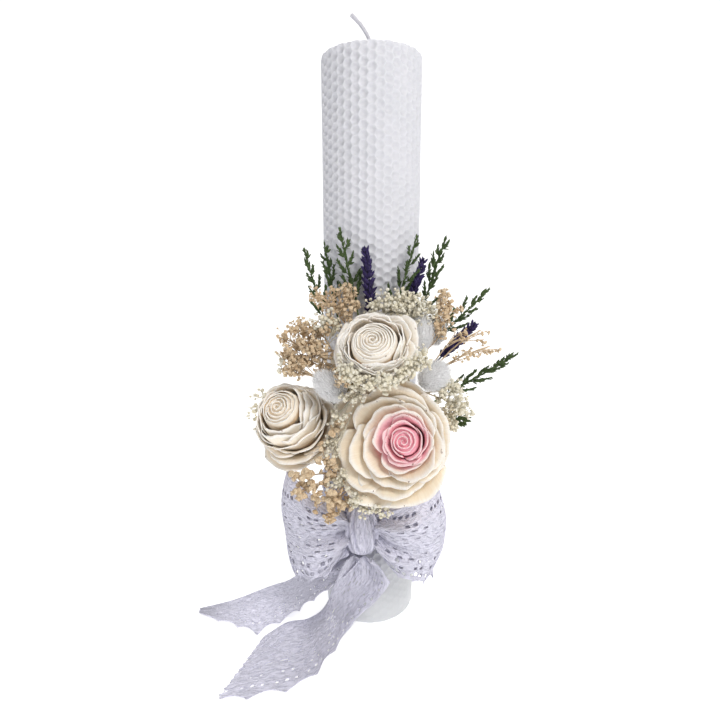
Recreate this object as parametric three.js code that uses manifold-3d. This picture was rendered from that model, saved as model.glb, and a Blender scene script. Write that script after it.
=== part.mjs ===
// Unity candle: a rolled honeycomb-wax pillar with a dried-flower bouquet and a crochet-lace bow.
// Millimetres, +Z up, front towards -Y. The origin is the centre of the pillar's flat base.
// The bouquet hangs on the pillar through a felt backing and a foam dome, and the ribbon is tied below it.

import * as THREE from 'three';
import { mergeVertices } from 'three/addons/utils/BufferGeometryUtils.js';
import Module from 'manifold-3d';

const wasm = await Module();
wasm.setup();

// Driving dimensions.
const CANDLE_RADIUS = 30;
const CANDLE_HEIGHT = 350;
const WAX_SHEET = 2.3;
const SEAM_STEP = 0.7;
const WICK_RADIUS = 1.3;
const WICK_FLOOR = 3;
const GAP = 0.35;
const BACKING_THICKNESS = 1.4;
const BOUQUET_HEIGHT = 146;
const PETAL = 1.1;
const LACE = 1.0;
const BAND_WIDTH = 44;
const BAND_CENTRE = 73;
const KNOT_CENTRE = [-4.6, -42, 73];
const KNOT_HALF = [10, 9, 15];
const TABLE_CLEARANCE = 0.1;

// Materials, one for each finish.
const finish = (color, roughness) => new THREE.MeshStandardMaterial({ color, roughness, metalness: 0 });
const wax = finish(0xeeeef0, 0.45);
const cotton = finish(0xf4f1e8, 0.9);
const felt = finish(0xded6c6, 0.95);
const foam = finish(0x8f9a72, 0.95);
const ivoryPetal = finish(0xf0e4d0, 0.75);
const pinkPetal = finish(0xf2a6b0, 0.75);
const tanFlower = finish(0xc59c6a, 0.85);
const creamFlower = finish(0xe9e2ca, 0.85);
const greenSprig = finish(0x4a5a38, 0.8);
const lavenderSprig = finish(0x3a3163, 0.85);
const whiteTail = finish(0xf2f0ee, 0.95);
const lace = finish(0xdcdbe8, 0.9);

const candle = new THREE.Group();
const bouquet = new THREE.Group();
const ribbon = new THREE.Group();

function addPart(group, name, geometry, material) {
  const mesh = new THREE.Mesh(geometry, material);
  mesh.name = name;
  group.add(mesh);
  return mesh;
}

// Solids for cutting: shared vertices are merged so that the surface is watertight.
function toSolid(geometry) {
  const bare = new THREE.BufferGeometry();
  bare.setAttribute('position', geometry.getAttribute('position').clone());
  if (geometry.index) bare.setIndex(geometry.index.clone());
  const merged = mergeVertices(bare, 1e-4);
  return new wasm.Manifold(new wasm.Mesh({
    numProp: 3,
    vertProperties: new Float32Array(merged.getAttribute('position').array),
    triVerts: new Uint32Array(merged.index.array),
  }));
}

function fromSolid(solid) {
  const mesh = solid.getMesh();
  const geometry = new THREE.BufferGeometry();
  geometry.setAttribute('position', new THREE.BufferAttribute(mesh.vertProperties, 3));
  geometry.setIndex(new THREE.BufferAttribute(mesh.triVerts, 1));
  return geometry;
}

// Cuts a geometry by a list of others and returns what is left.
function cutBy(geometry, cutters) {
  let solid = toSolid(geometry);
  for (const cutter of cutters) solid = solid.subtract(toSolid(cutter));
  return fromSolid(solid);
}

// Turns the local +Y axis to a direction and moves the origin to a point.
function facing(point, direction) {
  const axis = new THREE.Vector3(...direction).normalize();
  const turn = new THREE.Quaternion().setFromUnitVectors(new THREE.Vector3(0, 1, 0), axis);
  return new THREE.Matrix4().compose(new THREE.Vector3(...point), turn, new THREE.Vector3(1, 1, 1));
}

function lathe(profile, sides) {
  return new THREE.LatheGeometry(profile.map(([r, y]) => new THREE.Vector2(r, y)), sides);
}

function ellipsoid(point, half, across, down) {
  const geometry = new THREE.SphereGeometry(1, across, down);
  geometry.scale(...half);
  geometry.translate(...point);
  return geometry;
}

// A sheet of even thickness: a flat box bent so that its middle follows surface(u, v).
function bentSheet(surface, thickness, alongSteps, acrossSteps) {
  const geometry = new THREE.BoxGeometry(1, 1, 1, alongSteps, acrossSteps, 1);
  const position = geometry.getAttribute('position');
  const STEP = 1e-3;
  for (let i = 0; i < position.count; i += 1) {
    const u = position.getX(i) + 0.5;
    const v = position.getY(i) + 0.5;
    const alongA = surface(Math.max(u - STEP, 0), v);
    const alongB = surface(Math.min(u + STEP, 1), v);
    const acrossA = surface(u, Math.max(v - STEP, 0));
    const acrossB = surface(u, Math.min(v + STEP, 1));
    const normal = alongB.sub(alongA).cross(acrossB.sub(acrossA)).normalize();
    const point = surface(u, v).addScaledVector(normal, position.getZ(i) * thickness);
    position.setXYZ(i, point.x, point.y, point.z);
  }
  return geometry;
}

// --- Pillar -------------------------------------------------------------------------------------

// Core roll of wax, round the wick: solid at the base so that the wick stops short of the table.
function innerRoll() {
  const radius = CANDLE_RADIUS - WAX_SHEET - SEAM_STEP - GAP;
  const bore = WICK_RADIUS + GAP;
  return lathe([
    [0, 0], [radius, 0], [radius, CANDLE_HEIGHT], [bore, CANDLE_HEIGHT], [bore, WICK_FLOOR], [0, WICK_FLOOR],
  ], 48).rotateX(Math.PI / 2);
}

// Last turn of the embossed sheet: its radius grows by one step, so the free edge makes a lap seam at the back.
function outerSheet() {
  const TURN_STEPS = 64;
  const SEAM_ANGLE = THREE.MathUtils.degToRad(100);
  const OPEN_ANGLE = THREE.MathUtils.degToRad(1.2);
  const shape = new THREE.Shape();
  const place = (step, inset) => {
    const share = step / TURN_STEPS;
    const radius = CANDLE_RADIUS - SEAM_STEP * (1 - share) - inset;
    const angle = SEAM_ANGLE + share * (2 * Math.PI - OPEN_ANGLE);
    return [radius * Math.cos(angle), radius * Math.sin(angle)];
  };
  shape.moveTo(...place(0, 0));
  for (let step = 1; step <= TURN_STEPS; step += 1) shape.lineTo(...place(step, 0));
  for (let step = TURN_STEPS; step >= 0; step -= 1) shape.lineTo(...place(step, WAX_SHEET));
  return new THREE.ExtrudeGeometry(shape, { depth: CANDLE_HEIGHT, bevelEnabled: false });
}

// Braided cotton wick: straight through the roll, its free end bent over to the left.
function wickCord() {
  const path = new THREE.CatmullRomCurve3([
    new THREE.Vector3(0, 0, WICK_FLOOR + GAP),
    new THREE.Vector3(0, 0, CANDLE_HEIGHT / 2),
    new THREE.Vector3(0, 0, CANDLE_HEIGHT - 8),
    new THREE.Vector3(0, 0, CANDLE_HEIGHT + 2),
    new THREE.Vector3(-1.4, 0, CANDLE_HEIGHT + 10.5),
    new THREE.Vector3(-5.2, 0, CANDLE_HEIGHT + 17),
    new THREE.Vector3(-8.6, 0, CANDLE_HEIGHT + 20.8),
    new THREE.Vector3(-12.0, 0, CANDLE_HEIGHT + 24),
  ], false, 'centripetal');
  const section = new THREE.Shape().absarc(0, 0, WICK_RADIUS, 0, 2 * Math.PI);
  return new THREE.ExtrudeGeometry(section, { steps: 44, curveSegments: 4, extrudePath: path });
}

addPart(candle, 'inner_wax_roll', innerRoll(), wax);
addPart(candle, 'outer_wax_sheet', outerSheet(), wax);
addPart(candle, 'wick', wickCord(), cotton);

// --- Bouquet support ----------------------------------------------------------------------------

const backingInner = CANDLE_RADIUS + GAP;
const backingOuter = backingInner + BACKING_THICKNESS;

// Oval felt patch wrapped on the front of the pillar.
function feltBacking() {
  const HALF_ANGLE = THREE.MathUtils.degToRad(50);
  const HALF_HEIGHT = 46;
  const END_NARROWING = 0.6;
  return bentSheet((u, v) => {
    const across = 2 * u - 1;
    const angle = -Math.PI / 2 + across * HALF_ANGLE;
    const half = HALF_HEIGHT * Math.sqrt(1 - END_NARROWING * across * across);
    const radius = (backingInner + backingOuter) / 2;
    return new THREE.Vector3(
      radius * Math.cos(angle), radius * Math.sin(angle), BOUQUET_HEIGHT + (2 * v - 1) * half);
  }, BACKING_THICKNESS, 12, 4);
}

const DOME_HALF = [26, 16, 44];
const DOME_CENTRE = [0, -31, BOUQUET_HEIGHT];

function domeShape(grow) {
  return ellipsoid(DOME_CENTRE, DOME_HALF.map((half) => half + grow), 16, 12);
}

// Cylinder that the dome is hollowed to, just clear of the backing.
function pillarClearance() {
  const cutter = new THREE.CylinderGeometry(backingOuter + GAP, backingOuter + GAP, 140, 48);
  return cutter.rotateX(Math.PI / 2).translate(0, 0, BOUQUET_HEIGHT);
}

// --- Flower heads -------------------------------------------------------------------------------

// Cup of petals: an ellipsoid shell about a shared centre, open where its wall reaches the rim angle.
function petalCup(centre, radius, depth, rimAngle, steps = 4) {
  const wall = (r, d, from, to) => {
    const points = [];
    for (let i = 0; i <= steps; i += 1) {
      const angle = THREE.MathUtils.degToRad(from + (to - from) * i / steps);
      points.push([r * Math.sin(angle), centre - d * Math.cos(angle)]);
    }
    return points;
  };
  const outside = wall(radius, depth, 0, rimAngle);
  const inside = wall(radius - PETAL, depth - PETAL, rimAngle, 0);
  return lathe([...outside, ...inside], 15);
}

const ROSES = [
  {
    name: 'rose_large', base: [17.5, -50, 132], direction: [-0.28, -0.91, 0.30], centre: 24, bud: pinkPetal,
    cups: [
      ['outer_petals', 31.5, 23.5, 78, ivoryPetal],
      ['middle_petals', 25.5, 19.5, 92, ivoryPetal],
      ['inner_petals', 18.5, 15.5, 105, pinkPetal],
    ],
    budHalf: [11, 11],
  },
  {
    name: 'rose_top', base: [2.2, -48.5, 181], direction: [-0.05, -0.70, 0.71], centre: 19, bud: ivoryPetal,
    cups: [
      ['outer_petals', 24, 18.5, 88, ivoryPetal],
      ['inner_petals', 18, 14.5, 104, ivoryPetal],
    ],
    budHalf: [11.5, 10.5],
  },
  {
    name: 'rose_left', base: [-37, -35, 130.5], direction: [-0.30, -0.69, 0.62], centre: 20, bud: ivoryPetal,
    cups: [
      ['outer_petals', 25, 19.5, 92, ivoryPetal],
      ['inner_petals', 19, 15.5, 112, ivoryPetal],
    ],
    budHalf: [12.5, 12.5],
  },
];

const STEM_RADIUS = 2.4;
const STEM_DEPTH = 9;

function roseStem(rose, grow) {
  const length = STEM_DEPTH + grow;
  const stem = new THREE.CylinderGeometry(STEM_RADIUS + grow, STEM_RADIUS + grow, length, 10);
  stem.translate(0, -length / 2 - GAP, 0);
  return stem.applyMatrix4(facing(rose.base, rose.direction));
}

for (const rose of ROSES) {
  const head = new THREE.Group();
  head.applyMatrix4(facing(rose.base, rose.direction));
  for (const [part, radius, depth, rim, material] of rose.cups) {
    addPart(head, `${rose.name}_${part}`, petalCup(rose.centre, radius, depth, rim), material);
  }
  const bud = ellipsoid([0, rose.centre, 0], [rose.budHalf[0], rose.budHalf[1], rose.budHalf[0]], 14, 10);
  addPart(head, `${rose.name}_bud`, bud, rose.bud);
  bouquet.add(head);
  addPart(bouquet, `${rose.name}_stem`, roseStem(rose, 0), greenSprig);
}

const stemHoles = ROSES.map((rose) => roseStem(rose, GAP));
addPart(bouquet, 'felt_backing', feltBacking(), felt);
addPart(bouquet, 'foam_dome', cutBy(domeShape(0), [pillarClearance(), ...stemHoles]), foam);

// Fluffy seed heads of bunny-tail grass: name, middle, pointing direction, half length, half width.
const BUNNY_TAILS = [
  ['bunny_tail_left', [-21, -61, 167.5], [-0.75, 0.1, 0.65], 11, 7],
  ['bunny_tail_right', [34, -55, 172], [0.75, -0.1, 0.65], 10, 7.5],
  ['bunny_tail_upper', [27, -44, 193], [0.3, 0.1, 0.95], 12, 7.5],
  ['bunny_tail_back', [38, -30, 193], [0.2, 0.3, 0.9], 9, 5],
];

for (const [name, middle, direction, halfLength, halfWidth] of BUNNY_TAILS) {
  const head = ellipsoid([0, 0, 0], [halfWidth, halfLength, halfWidth], 12, 8);
  addPart(bouquet, name, head.applyMatrix4(facing(middle, direction)), whiteTail);
}

// A dried sprig: a thin stem that widens into a soft tuft. Name, root, tip, tuft radius, where the tuft starts.
function sprig(root, tip, radius, tuftStart) {
  const start = new THREE.Vector3(...root);
  const way = new THREE.Vector3(...tip).sub(start);
  const length = way.length();
  const STEM = 0.8;
  const tuft = (share) => length * (tuftStart + (1 - tuftStart) * share);
  const profile = [
    [0, 0], [STEM, 0.2], [STEM, tuft(0)], [radius * 0.8, tuft(0.3)], [radius, tuft(0.6)],
    [radius * 0.7, tuft(0.9)], [0, length],
  ];
  return lathe(profile, 7).applyMatrix4(facing(root, way.toArray()));
}

const SPRIGS = [
  // Tan gypsophila.
  ['gypsophila_tan_1', [-24, -38, 172], [-64, -34, 189], 6.5, 0.3, tanFlower],
  ['gypsophila_tan_2', [-20, -41, 183], [-44, -42, 202], 5.5, 0.3, tanFlower],
  ['gypsophila_tan_3', [-23, -46, 168], [-52, -50, 176], 5.0, 0.3, tanFlower],
  ['gypsophila_tan_4', [-11, -37, 192], [-17, -37, 219], 4.5, 0.2, tanFlower],
  ['gypsophila_tan_5', [33, -38, 184], [47, -35, 213], 4.5, 0.35, tanFlower],
  ['gypsophila_tan_6', [34, -38, 171], [69, -37, 197], 4.5, 0.5, tanFlower],
  ['gypsophila_tan_7', [-17, -46, 112], [-37, -60, 101], 5.0, 0.2, tanFlower],
  ['gypsophila_tan_8', [-11, -48, 105], [-26, -61, 88], 5.0, 0.2, tanFlower],
  // Cream gypsophila.
  ['gypsophila_cream_1', [7, -38, 193], [11, -37, 219], 4.5, 0.3, creamFlower],
  ['gypsophila_cream_2', [21, -33, 190], [28, -33, 217], 4.0, 0.4, creamFlower],
  ['gypsophila_cream_3', [-6, -50, 162], [-7, -79, 172], 4.0, 0.4, creamFlower],
  ['gypsophila_cream_4', [14, -47, 165], [21, -73, 178], 4.0, 0.4, creamFlower],
  ['gypsophila_cream_5', [31, -34, 157], [54, -47, 161], 5.0, 0.3, creamFlower],
  ['gypsophila_cream_6', [1, -47, 106], [3, -63, 95], 4.0, 0.25, creamFlower],
  ['gypsophila_cream_7', [-31, -24, 142], [-76, -24, 146], 4.0, 0.5, creamFlower],
  ['gypsophila_cream_8', [-31, -27, 163], [-68, -22, 177], 4.0, 0.45, creamFlower],
  // Green limonium.
  ['limonium_1', [-24, -33, 192], [-39, -20, 239], 3.0, 0.3, greenSprig],
  ['limonium_2', [-18, -32, 196], [-27, -23, 244], 3.0, 0.3, greenSprig],
  ['limonium_3', [-5, -35, 195], [-17, -34, 250], 3.0, 0.3, greenSprig],
  ['limonium_4', [12, -34, 195], [25, -27, 246], 3.0, 0.4, greenSprig],
  ['limonium_5', [26, -29, 190], [43, -17, 246], 3.0, 0.3, greenSprig],
  ['limonium_6', [33, -25, 182], [69, -18, 217], 3.0, 0.4, greenSprig],
  ['limonium_7', [34, -28, 148], [86, -29, 180], 3.0, 0.4, greenSprig],
  ['limonium_8', [35, -24, 134], [57, -38, 142], 4.0, 0.3, greenSprig],
  // Lavender.
  ['lavender_1', [1, -37, 197], [-3, -36, 241], 2.6, 0.35, lavenderSprig],
  ['lavender_2', [17, -31, 196], [31, -26, 236], 2.6, 0.45, lavenderSprig],
  ['lavender_3', [37, -31, 174], [61, -31, 199], 2.6, 0.35, lavenderSprig],
];

for (const [name, root, tip, radius, tuftStart, material] of SPRIGS) {
  addPart(bouquet, name, sprig(root, tip, radius, tuftStart), material);
}

// --- Ribbon -------------------------------------------------------------------------------------

// Band round the pillar: open behind the knot, where both of its ends are tied in.
function ribbonBand() {
  const radius = CANDLE_RADIUS + GAP + LACE / 2;
  const OPEN = THREE.MathUtils.degToRad(8);
  return bentSheet((u, v) => {
    const angle = -Math.PI / 2 + OPEN + u * 2 * (Math.PI - OPEN);
    return new THREE.Vector3(
      radius * Math.cos(angle), radius * Math.sin(angle), BAND_CENTRE + (v - 0.5) * BAND_WIDTH);
  }, LACE, 40, 1);
}

// One loop of the bow, seen from above as a teardrop: narrow where it leaves the knot, full at the far end.
function bowLoop(plan, knotHalf, farHalf, farCentre) {
  const curve = new THREE.CatmullRomCurve3(plan.map(([x, y]) => new THREE.Vector3(x, y, 0)), false, 'centripetal');
  return bentSheet((u, v) => {
    const point = curve.getPointAt(u);
    const fullness = Math.sin(Math.PI * u) ** 0.7;
    const half = knotHalf + (farHalf - knotHalf) * fullness;
    const centre = KNOT_CENTRE[2] + (farCentre - KNOT_CENTRE[2]) * fullness;
    return new THREE.Vector3(point.x, point.y, centre + (2 * v - 1) * half);
  }, LACE, 20, 2);
}

// Free end of the ribbon between its two long edges; it never dips below the table.
function ribbonTail(leftEdge, rightEdge, steps) {
  const smooth = (points) => new THREE.CatmullRomCurve3(
    points.map((point) => new THREE.Vector3(...point)), false, 'centripetal');
  const left = smooth(leftEdge);
  const right = smooth(rightEdge);
  const lowest = LACE / 2 + TABLE_CLEARANCE;
  return bentSheet((u, v) => {
    const point = left.getPoint(u).lerp(right.getPoint(u), v);
    point.z = Math.max(point.z, lowest);
    return point;
  }, LACE, steps, 3);
}

const LEFT_LOOP = [[-15.2, -46], [-30, -50], [-46, -45], [-56, -31], [-54, -19], [-42, -20], [-28, -29], [-15.2, -37]];
const RIGHT_LOOP = [[6.0, -46], [20, -50], [36, -44], [47, -30], [45, -19], [34, -22], [20, -32], [6.0, -37]];
const FRONT_TAIL_LEFT = [
  [-12, -45, 56], [-17, -42, 40], [-23, -37, 20], [-36, -34, 5], [-57, -36, 1],
  [-66, -50, 1], [-75, -68, 1], [-81, -82, 1], [-83, -92, 1],
];
const FRONT_TAIL_RIGHT = [
  [3, -45, 56], [11, -43, 42], [5, -41, 28], [-8, -39, 8], [-16, -44, 1],
  [-21, -57, 1], [-30, -74, 1], [-45, -86, 1], [-74, -95, 1],
];
const LEFT_TAIL_BACK = [[-14, -36, 54], [-34, -21, 31], [-53, -3, 8], [-70, 8, 1], [-96, -9, 1], [-116, -20, 1]];
const LEFT_TAIL_FRONT = [[-13, -40, 47], [-34, -29, 21], [-54, -20, 3], [-59, -26, 1], [-61, -32, 1], [-66, -41, 1]];

addPart(ribbon, 'ribbon_band', ribbonBand(), lace);
addPart(ribbon, 'bow_loop_left', bowLoop(LEFT_LOOP, 13, 31, 67), lace);
addPart(ribbon, 'bow_loop_right', bowLoop(RIGHT_LOOP, 13, 29, 64), lace);
addPart(ribbon, 'bow_knot', ellipsoid(KNOT_CENTRE, KNOT_HALF, 14, 10), lace);
addPart(ribbon, 'bow_tail_front', ribbonTail(FRONT_TAIL_LEFT, FRONT_TAIL_RIGHT, 22), lace);
addPart(ribbon, 'bow_tail_left', ribbonTail(LEFT_TAIL_BACK, LEFT_TAIL_FRONT, 14), lace);

const group = new THREE.Group();
group.add(candle, bouquet, ribbon);

export default group;
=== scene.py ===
"""Unity candle: a honeycomb-wax pillar with dried flowers on its front and a crochet-lace bow below them.

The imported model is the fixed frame. Each piece is a surface worked out with numpy, in metres, with its place in its
mesh, and it stands for the plain node that it replaces. Front is -Y, up is +Z.
"""

import math

import bmesh
import bpy
import numpy as np
from bpy.props import FloatProperty, FloatVectorProperty, PointerProperty
from bpy.types import Operator, Panel, PropertyGroup
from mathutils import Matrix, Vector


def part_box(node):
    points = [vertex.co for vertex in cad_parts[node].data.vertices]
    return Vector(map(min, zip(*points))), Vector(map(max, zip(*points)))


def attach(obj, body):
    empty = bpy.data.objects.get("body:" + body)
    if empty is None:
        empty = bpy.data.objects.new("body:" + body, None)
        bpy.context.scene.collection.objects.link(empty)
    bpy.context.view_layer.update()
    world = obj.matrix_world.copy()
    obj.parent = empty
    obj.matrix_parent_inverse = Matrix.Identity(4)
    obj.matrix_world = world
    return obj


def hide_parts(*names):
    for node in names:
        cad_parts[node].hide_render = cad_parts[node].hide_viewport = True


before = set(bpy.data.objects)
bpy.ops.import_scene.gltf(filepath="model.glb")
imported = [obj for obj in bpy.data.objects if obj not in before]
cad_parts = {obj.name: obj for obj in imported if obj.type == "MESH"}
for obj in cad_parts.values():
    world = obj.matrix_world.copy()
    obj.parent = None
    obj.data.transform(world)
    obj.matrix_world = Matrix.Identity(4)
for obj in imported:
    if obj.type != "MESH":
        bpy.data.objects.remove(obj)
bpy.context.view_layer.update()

bl_info = {
    "name": "Unity Candle",
    "version": (1, 0, 0),
    "blender": (4, 5, 0),
    "location": "View3D > Sidebar > Candle",
    "description": "Builds a honeycomb-wax pillar candle with dried flowers and a lace bow",
    "category": "Add Mesh",
}

MM = 0.001
BODY = "root"

SHEET_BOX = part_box("outer_wax_sheet")
PILLAR_HEIGHT = SHEET_BOX[1].z
PILLAR_RADIUS = 30 * MM
WICK_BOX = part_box("wick")
KNOT_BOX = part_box("bow_knot")
BAND_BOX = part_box("ribbon_band")


# ---------------------------------------------------------------------------------------------------------------
# Arrays and meshes


def smooth(low, high, x):
    """Smooth step: 0 below low, 1 above high, and an S curve between."""
    t = np.clip((np.asarray(x, float) - low) / (high - low), 0.0, 1.0)
    return t * t * (3.0 - 2.0 * t)


def unit(vectors):
    """Vectors divided by their length."""
    vectors = np.asarray(vectors, float)
    return vectors / np.maximum(np.linalg.norm(vectors, axis=-1, keepdims=True), 1e-12)


def turned(axes, spins=0.0):
    """Rotation matrices whose third column is each axis, spun about it."""
    axes = unit(np.atleast_2d(axes))
    helper = np.where(np.abs(axes[:, 2:3]) < 0.95, [[0.0, 0.0, 1.0]], [[0.0, 1.0, 0.0]])
    side = unit(np.cross(helper, axes))
    up = np.cross(axes, side)
    c = np.cos(np.broadcast_to(spins, len(axes)))[:, None]
    s = np.sin(np.broadcast_to(spins, len(axes)))[:, None]
    return np.stack([side * c + up * s, up * c - side * s, axes], axis=2)


def spline(points, samples):
    """Points on a smooth curve through the given ones: Catmull-Rom, evenly spaced along its length."""
    points = np.asarray(points, float)
    padded = np.vstack([2 * points[0] - points[1], points, 2 * points[-1] - points[-2]])
    t = np.linspace(0, len(points) - 1 - 1e-9, 40 * len(points))
    k = t.astype(int)
    f = (t - k)[:, None]
    a, b, c, d = padded[k], padded[k + 1], padded[k + 2], padded[k + 3]
    dense = 0.5 * (2 * b + (c - a) * f + (2 * a - 5 * b + 4 * c - d) * f**2 + (3 * b - a - 3 * c + d) * f**3)
    run = np.concatenate([[0], np.cumsum(np.linalg.norm(np.diff(dense, axis=0), axis=1))])
    at = np.linspace(0, run[-1], samples)
    return np.stack([np.interp(at, run, dense[:, i]) for i in range(dense.shape[1])], axis=1)


def along(curve, t):
    """Points of a sampled curve at shares t of its length, for t of any shape."""
    x = np.clip(t, 0, 1) * (len(curve) - 1)
    index = np.arange(len(curve))
    return np.stack([np.interp(x, index, curve[:, i]) for i in range(curve.shape[1])], axis=-1)


def pulled(start, middle, end, t):
    """Points at t on a quadratic curve from start to end, pulled by the middle."""
    return (1 - t) ** 2 * start + 2 * t * (1 - t) * middle + t**2 * end


def around_axis(radius, angle, height):
    """Points given by their distance from Z, their angle about it and their height."""
    return np.stack([radius * np.cos(angle), radius * np.sin(angle), height], axis=-1)


def kept(keep, *arrays):
    """The chosen entries of each array."""
    return [array[keep] for array in arrays]


def closed_angles(count):
    """Even angles round a full turn, without the last one, which is the first again."""
    return np.arange(count) * 2 * np.pi / count


def ball_grid(rows, around, margin):
    """Grids of two angles that cover a ball: from pole to pole, short of both by a margin, and round it."""
    return np.meshgrid(np.linspace(margin, np.pi - margin, rows), closed_angles(around), indexing="ij")


def grid_faces(rows, columns, wrap_rows=False, wrap_columns=False):
    """Four-sided faces of a grid of points numbered row by row."""
    i = np.arange(rows if wrap_rows else rows - 1)
    j = np.arange(columns if wrap_columns else columns - 1)
    i, j = np.meshgrid(i, j, indexing="ij")
    i2, j2 = (i + 1) % rows, (j + 1) % columns
    quads = np.stack([i * columns + j, i2 * columns + j, i2 * columns + j2, i * columns + j2], axis=-1)
    return quads.reshape(-1, 4)


def fan_faces(ring, centre):
    """Triangles from each side of a ring of point numbers to one centre point."""
    return np.stack([ring, np.roll(ring, -1), np.full(len(ring), centre)], axis=1)


class Shape:
    """Points, faces and values per point of many surfaces, kept as arrays until they become one mesh."""

    def __init__(self):
        self.points = []
        self.faces = {3: [], 4: []}
        self.values = {}
        self.count = 0

    def add(self, points, *faces, **values):
        """Adds one surface. A value is an array with one entry for each point, or one number for all of them."""
        points = np.asarray(points, float).reshape(-1, 3)
        for block in faces:
            self.faces[block.shape[1]].append(block + self.count)
        for name, value in values.items():
            value = np.asarray(value, float).ravel()
            self.values.setdefault(name, []).append((self.count, np.broadcast_to(value, len(points))))
        self.points.append(points)
        self.count += len(points)

    def close(self, ring, centre, flip=False, **values):
        """Closes a ring of points with a fan to a new point in its middle."""
        self.add([centre], **values)
        fan = fan_faces(ring, self.count - 1)
        self.faces[3].append(fan[:, ::-1] if flip else fan)

    def add_copies(self, template, faces, places, turns, sizes, tips, **values):
        """Adds a copy of a small template at each place, in millimetres, turned and scaled, with its own tip values."""
        places, sizes = places * MM, (sizes * MM).reshape(len(places), -1)
        local = template[None] * sizes[:, None, :]
        points = np.einsum("nij,nkj->nki", turns, local) + places[:, None, :]
        numbers = faces[None] + (np.arange(len(places)) * len(template))[:, None, None]
        spread = {name: np.repeat(np.broadcast_to(v, len(places)), len(template)) for name, v in values.items()}
        spread["tip"] = np.tile(tips, len(places))
        self.add(points.reshape(-1, 3), numbers.reshape(-1, faces.shape[1]), **spread)

    def build(self, name, material, uv=None):
        """Makes the mesh and its object, with each value as a point attribute."""
        blocks = [np.concatenate(self.faces[k]) for k in (3, 4) if self.faces[k]]
        corners = np.concatenate([b.ravel() for b in blocks]).astype(np.int32)
        sizes = np.concatenate([np.full(len(b), b.shape[1]) for b in blocks])
        starts = np.concatenate([[0], np.cumsum(sizes)[:-1]]).astype(np.int32)
        mesh = bpy.data.meshes.new(name)
        mesh.vertices.add(self.count)
        mesh.vertices.foreach_set("co", np.concatenate(self.points).astype(np.float32).ravel())
        mesh.loops.add(len(corners))
        mesh.loops.foreach_set("vertex_index", corners)
        mesh.polygons.add(len(sizes))
        mesh.polygons.foreach_set("loop_start", starts)
        mesh.update(calc_edges=True)
        mesh.polygons.foreach_set("use_smooth", np.ones(len(sizes), bool))
        for value_name, parts in self.values.items():
            full = np.zeros(self.count, np.float32)
            for start, part in parts:
                full[start : start + len(part)] = part
            mesh.attributes.new(value_name, "FLOAT", "POINT").data.foreach_set("value", full)
        if uv:
            layer = mesh.uv_layers.new(name="flat_cloth")
            u, v = (np.zeros(self.count, np.float32) for _ in range(2))
            mesh.attributes[uv[0]].data.foreach_get("value", u)
            mesh.attributes[uv[1]].data.foreach_get("value", v)
            layer.data.foreach_set("uv", np.stack([u[corners], v[corners]], axis=1).ravel())
        mesh.materials.append(material)
        piece = bpy.data.objects.new(name, mesh)
        bpy.context.scene.collection.objects.link(piece)
        return piece


def place(piece, slot, *nodes):
    """The finished piece rides on the candle and stands for its plain nodes, which are hidden. The slot is not used."""
    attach(piece, BODY)
    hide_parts(*nodes)
    return piece


def walled(piece, thickness, offset=0.0):
    """Gives an open surface its thickness, with rims that close it."""
    wall = piece.modifiers.new("wall", "SOLIDIFY")
    wall.thickness = thickness
    wall.offset = offset
    wall.use_rim = True
    return piece


def tubes(shape, starts, middles, ends, thick, thin, sides=4, steps=4, **values):
    """Many stems at once, in millimetres. Each bends towards its middle on the way from start to end, and tapers."""
    starts, middles, ends = (np.atleast_2d(x) * MM for x in (starts, middles, ends))
    t = np.linspace(0, 1, steps)[None, :, None]
    line = pulled(starts[:, None], middles[:, None], ends[:, None], t)
    way = unit(np.gradient(line, axis=1))
    turns = turned(way.reshape(-1, 3)).reshape(len(starts), steps, 3, 3)
    angle = closed_angles(sides)
    ring = around_axis(1.0, angle, 0 * angle)
    thick, thin = thick * MM, thin * MM
    radius = np.broadcast_to(thick + (thin - thick) * np.linspace(0, 1, steps), (len(starts), steps))
    points = line[:, :, None] + radius[:, :, None, None] * np.einsum("nsij,kj->nski", turns, ring)
    body = grid_faces(steps, sides, wrap_columns=True)[:, ::-1]
    cap = np.arange(sides)
    if sides == 4:
        body = np.concatenate([body, np.stack([cap[::-1], (steps - 1) * sides + cap])])
    numbers = body[None] + (np.arange(len(starts)) * steps * sides)[:, None, None]
    spread = {name: np.repeat(np.broadcast_to(v, len(starts)), steps * sides) for name, v in values.items()}
    shape.add(points.reshape(-1, 3), numbers.reshape(-1, 4), **spread)


# ---------------------------------------------------------------------------------------------------------------
# Materials


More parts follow.
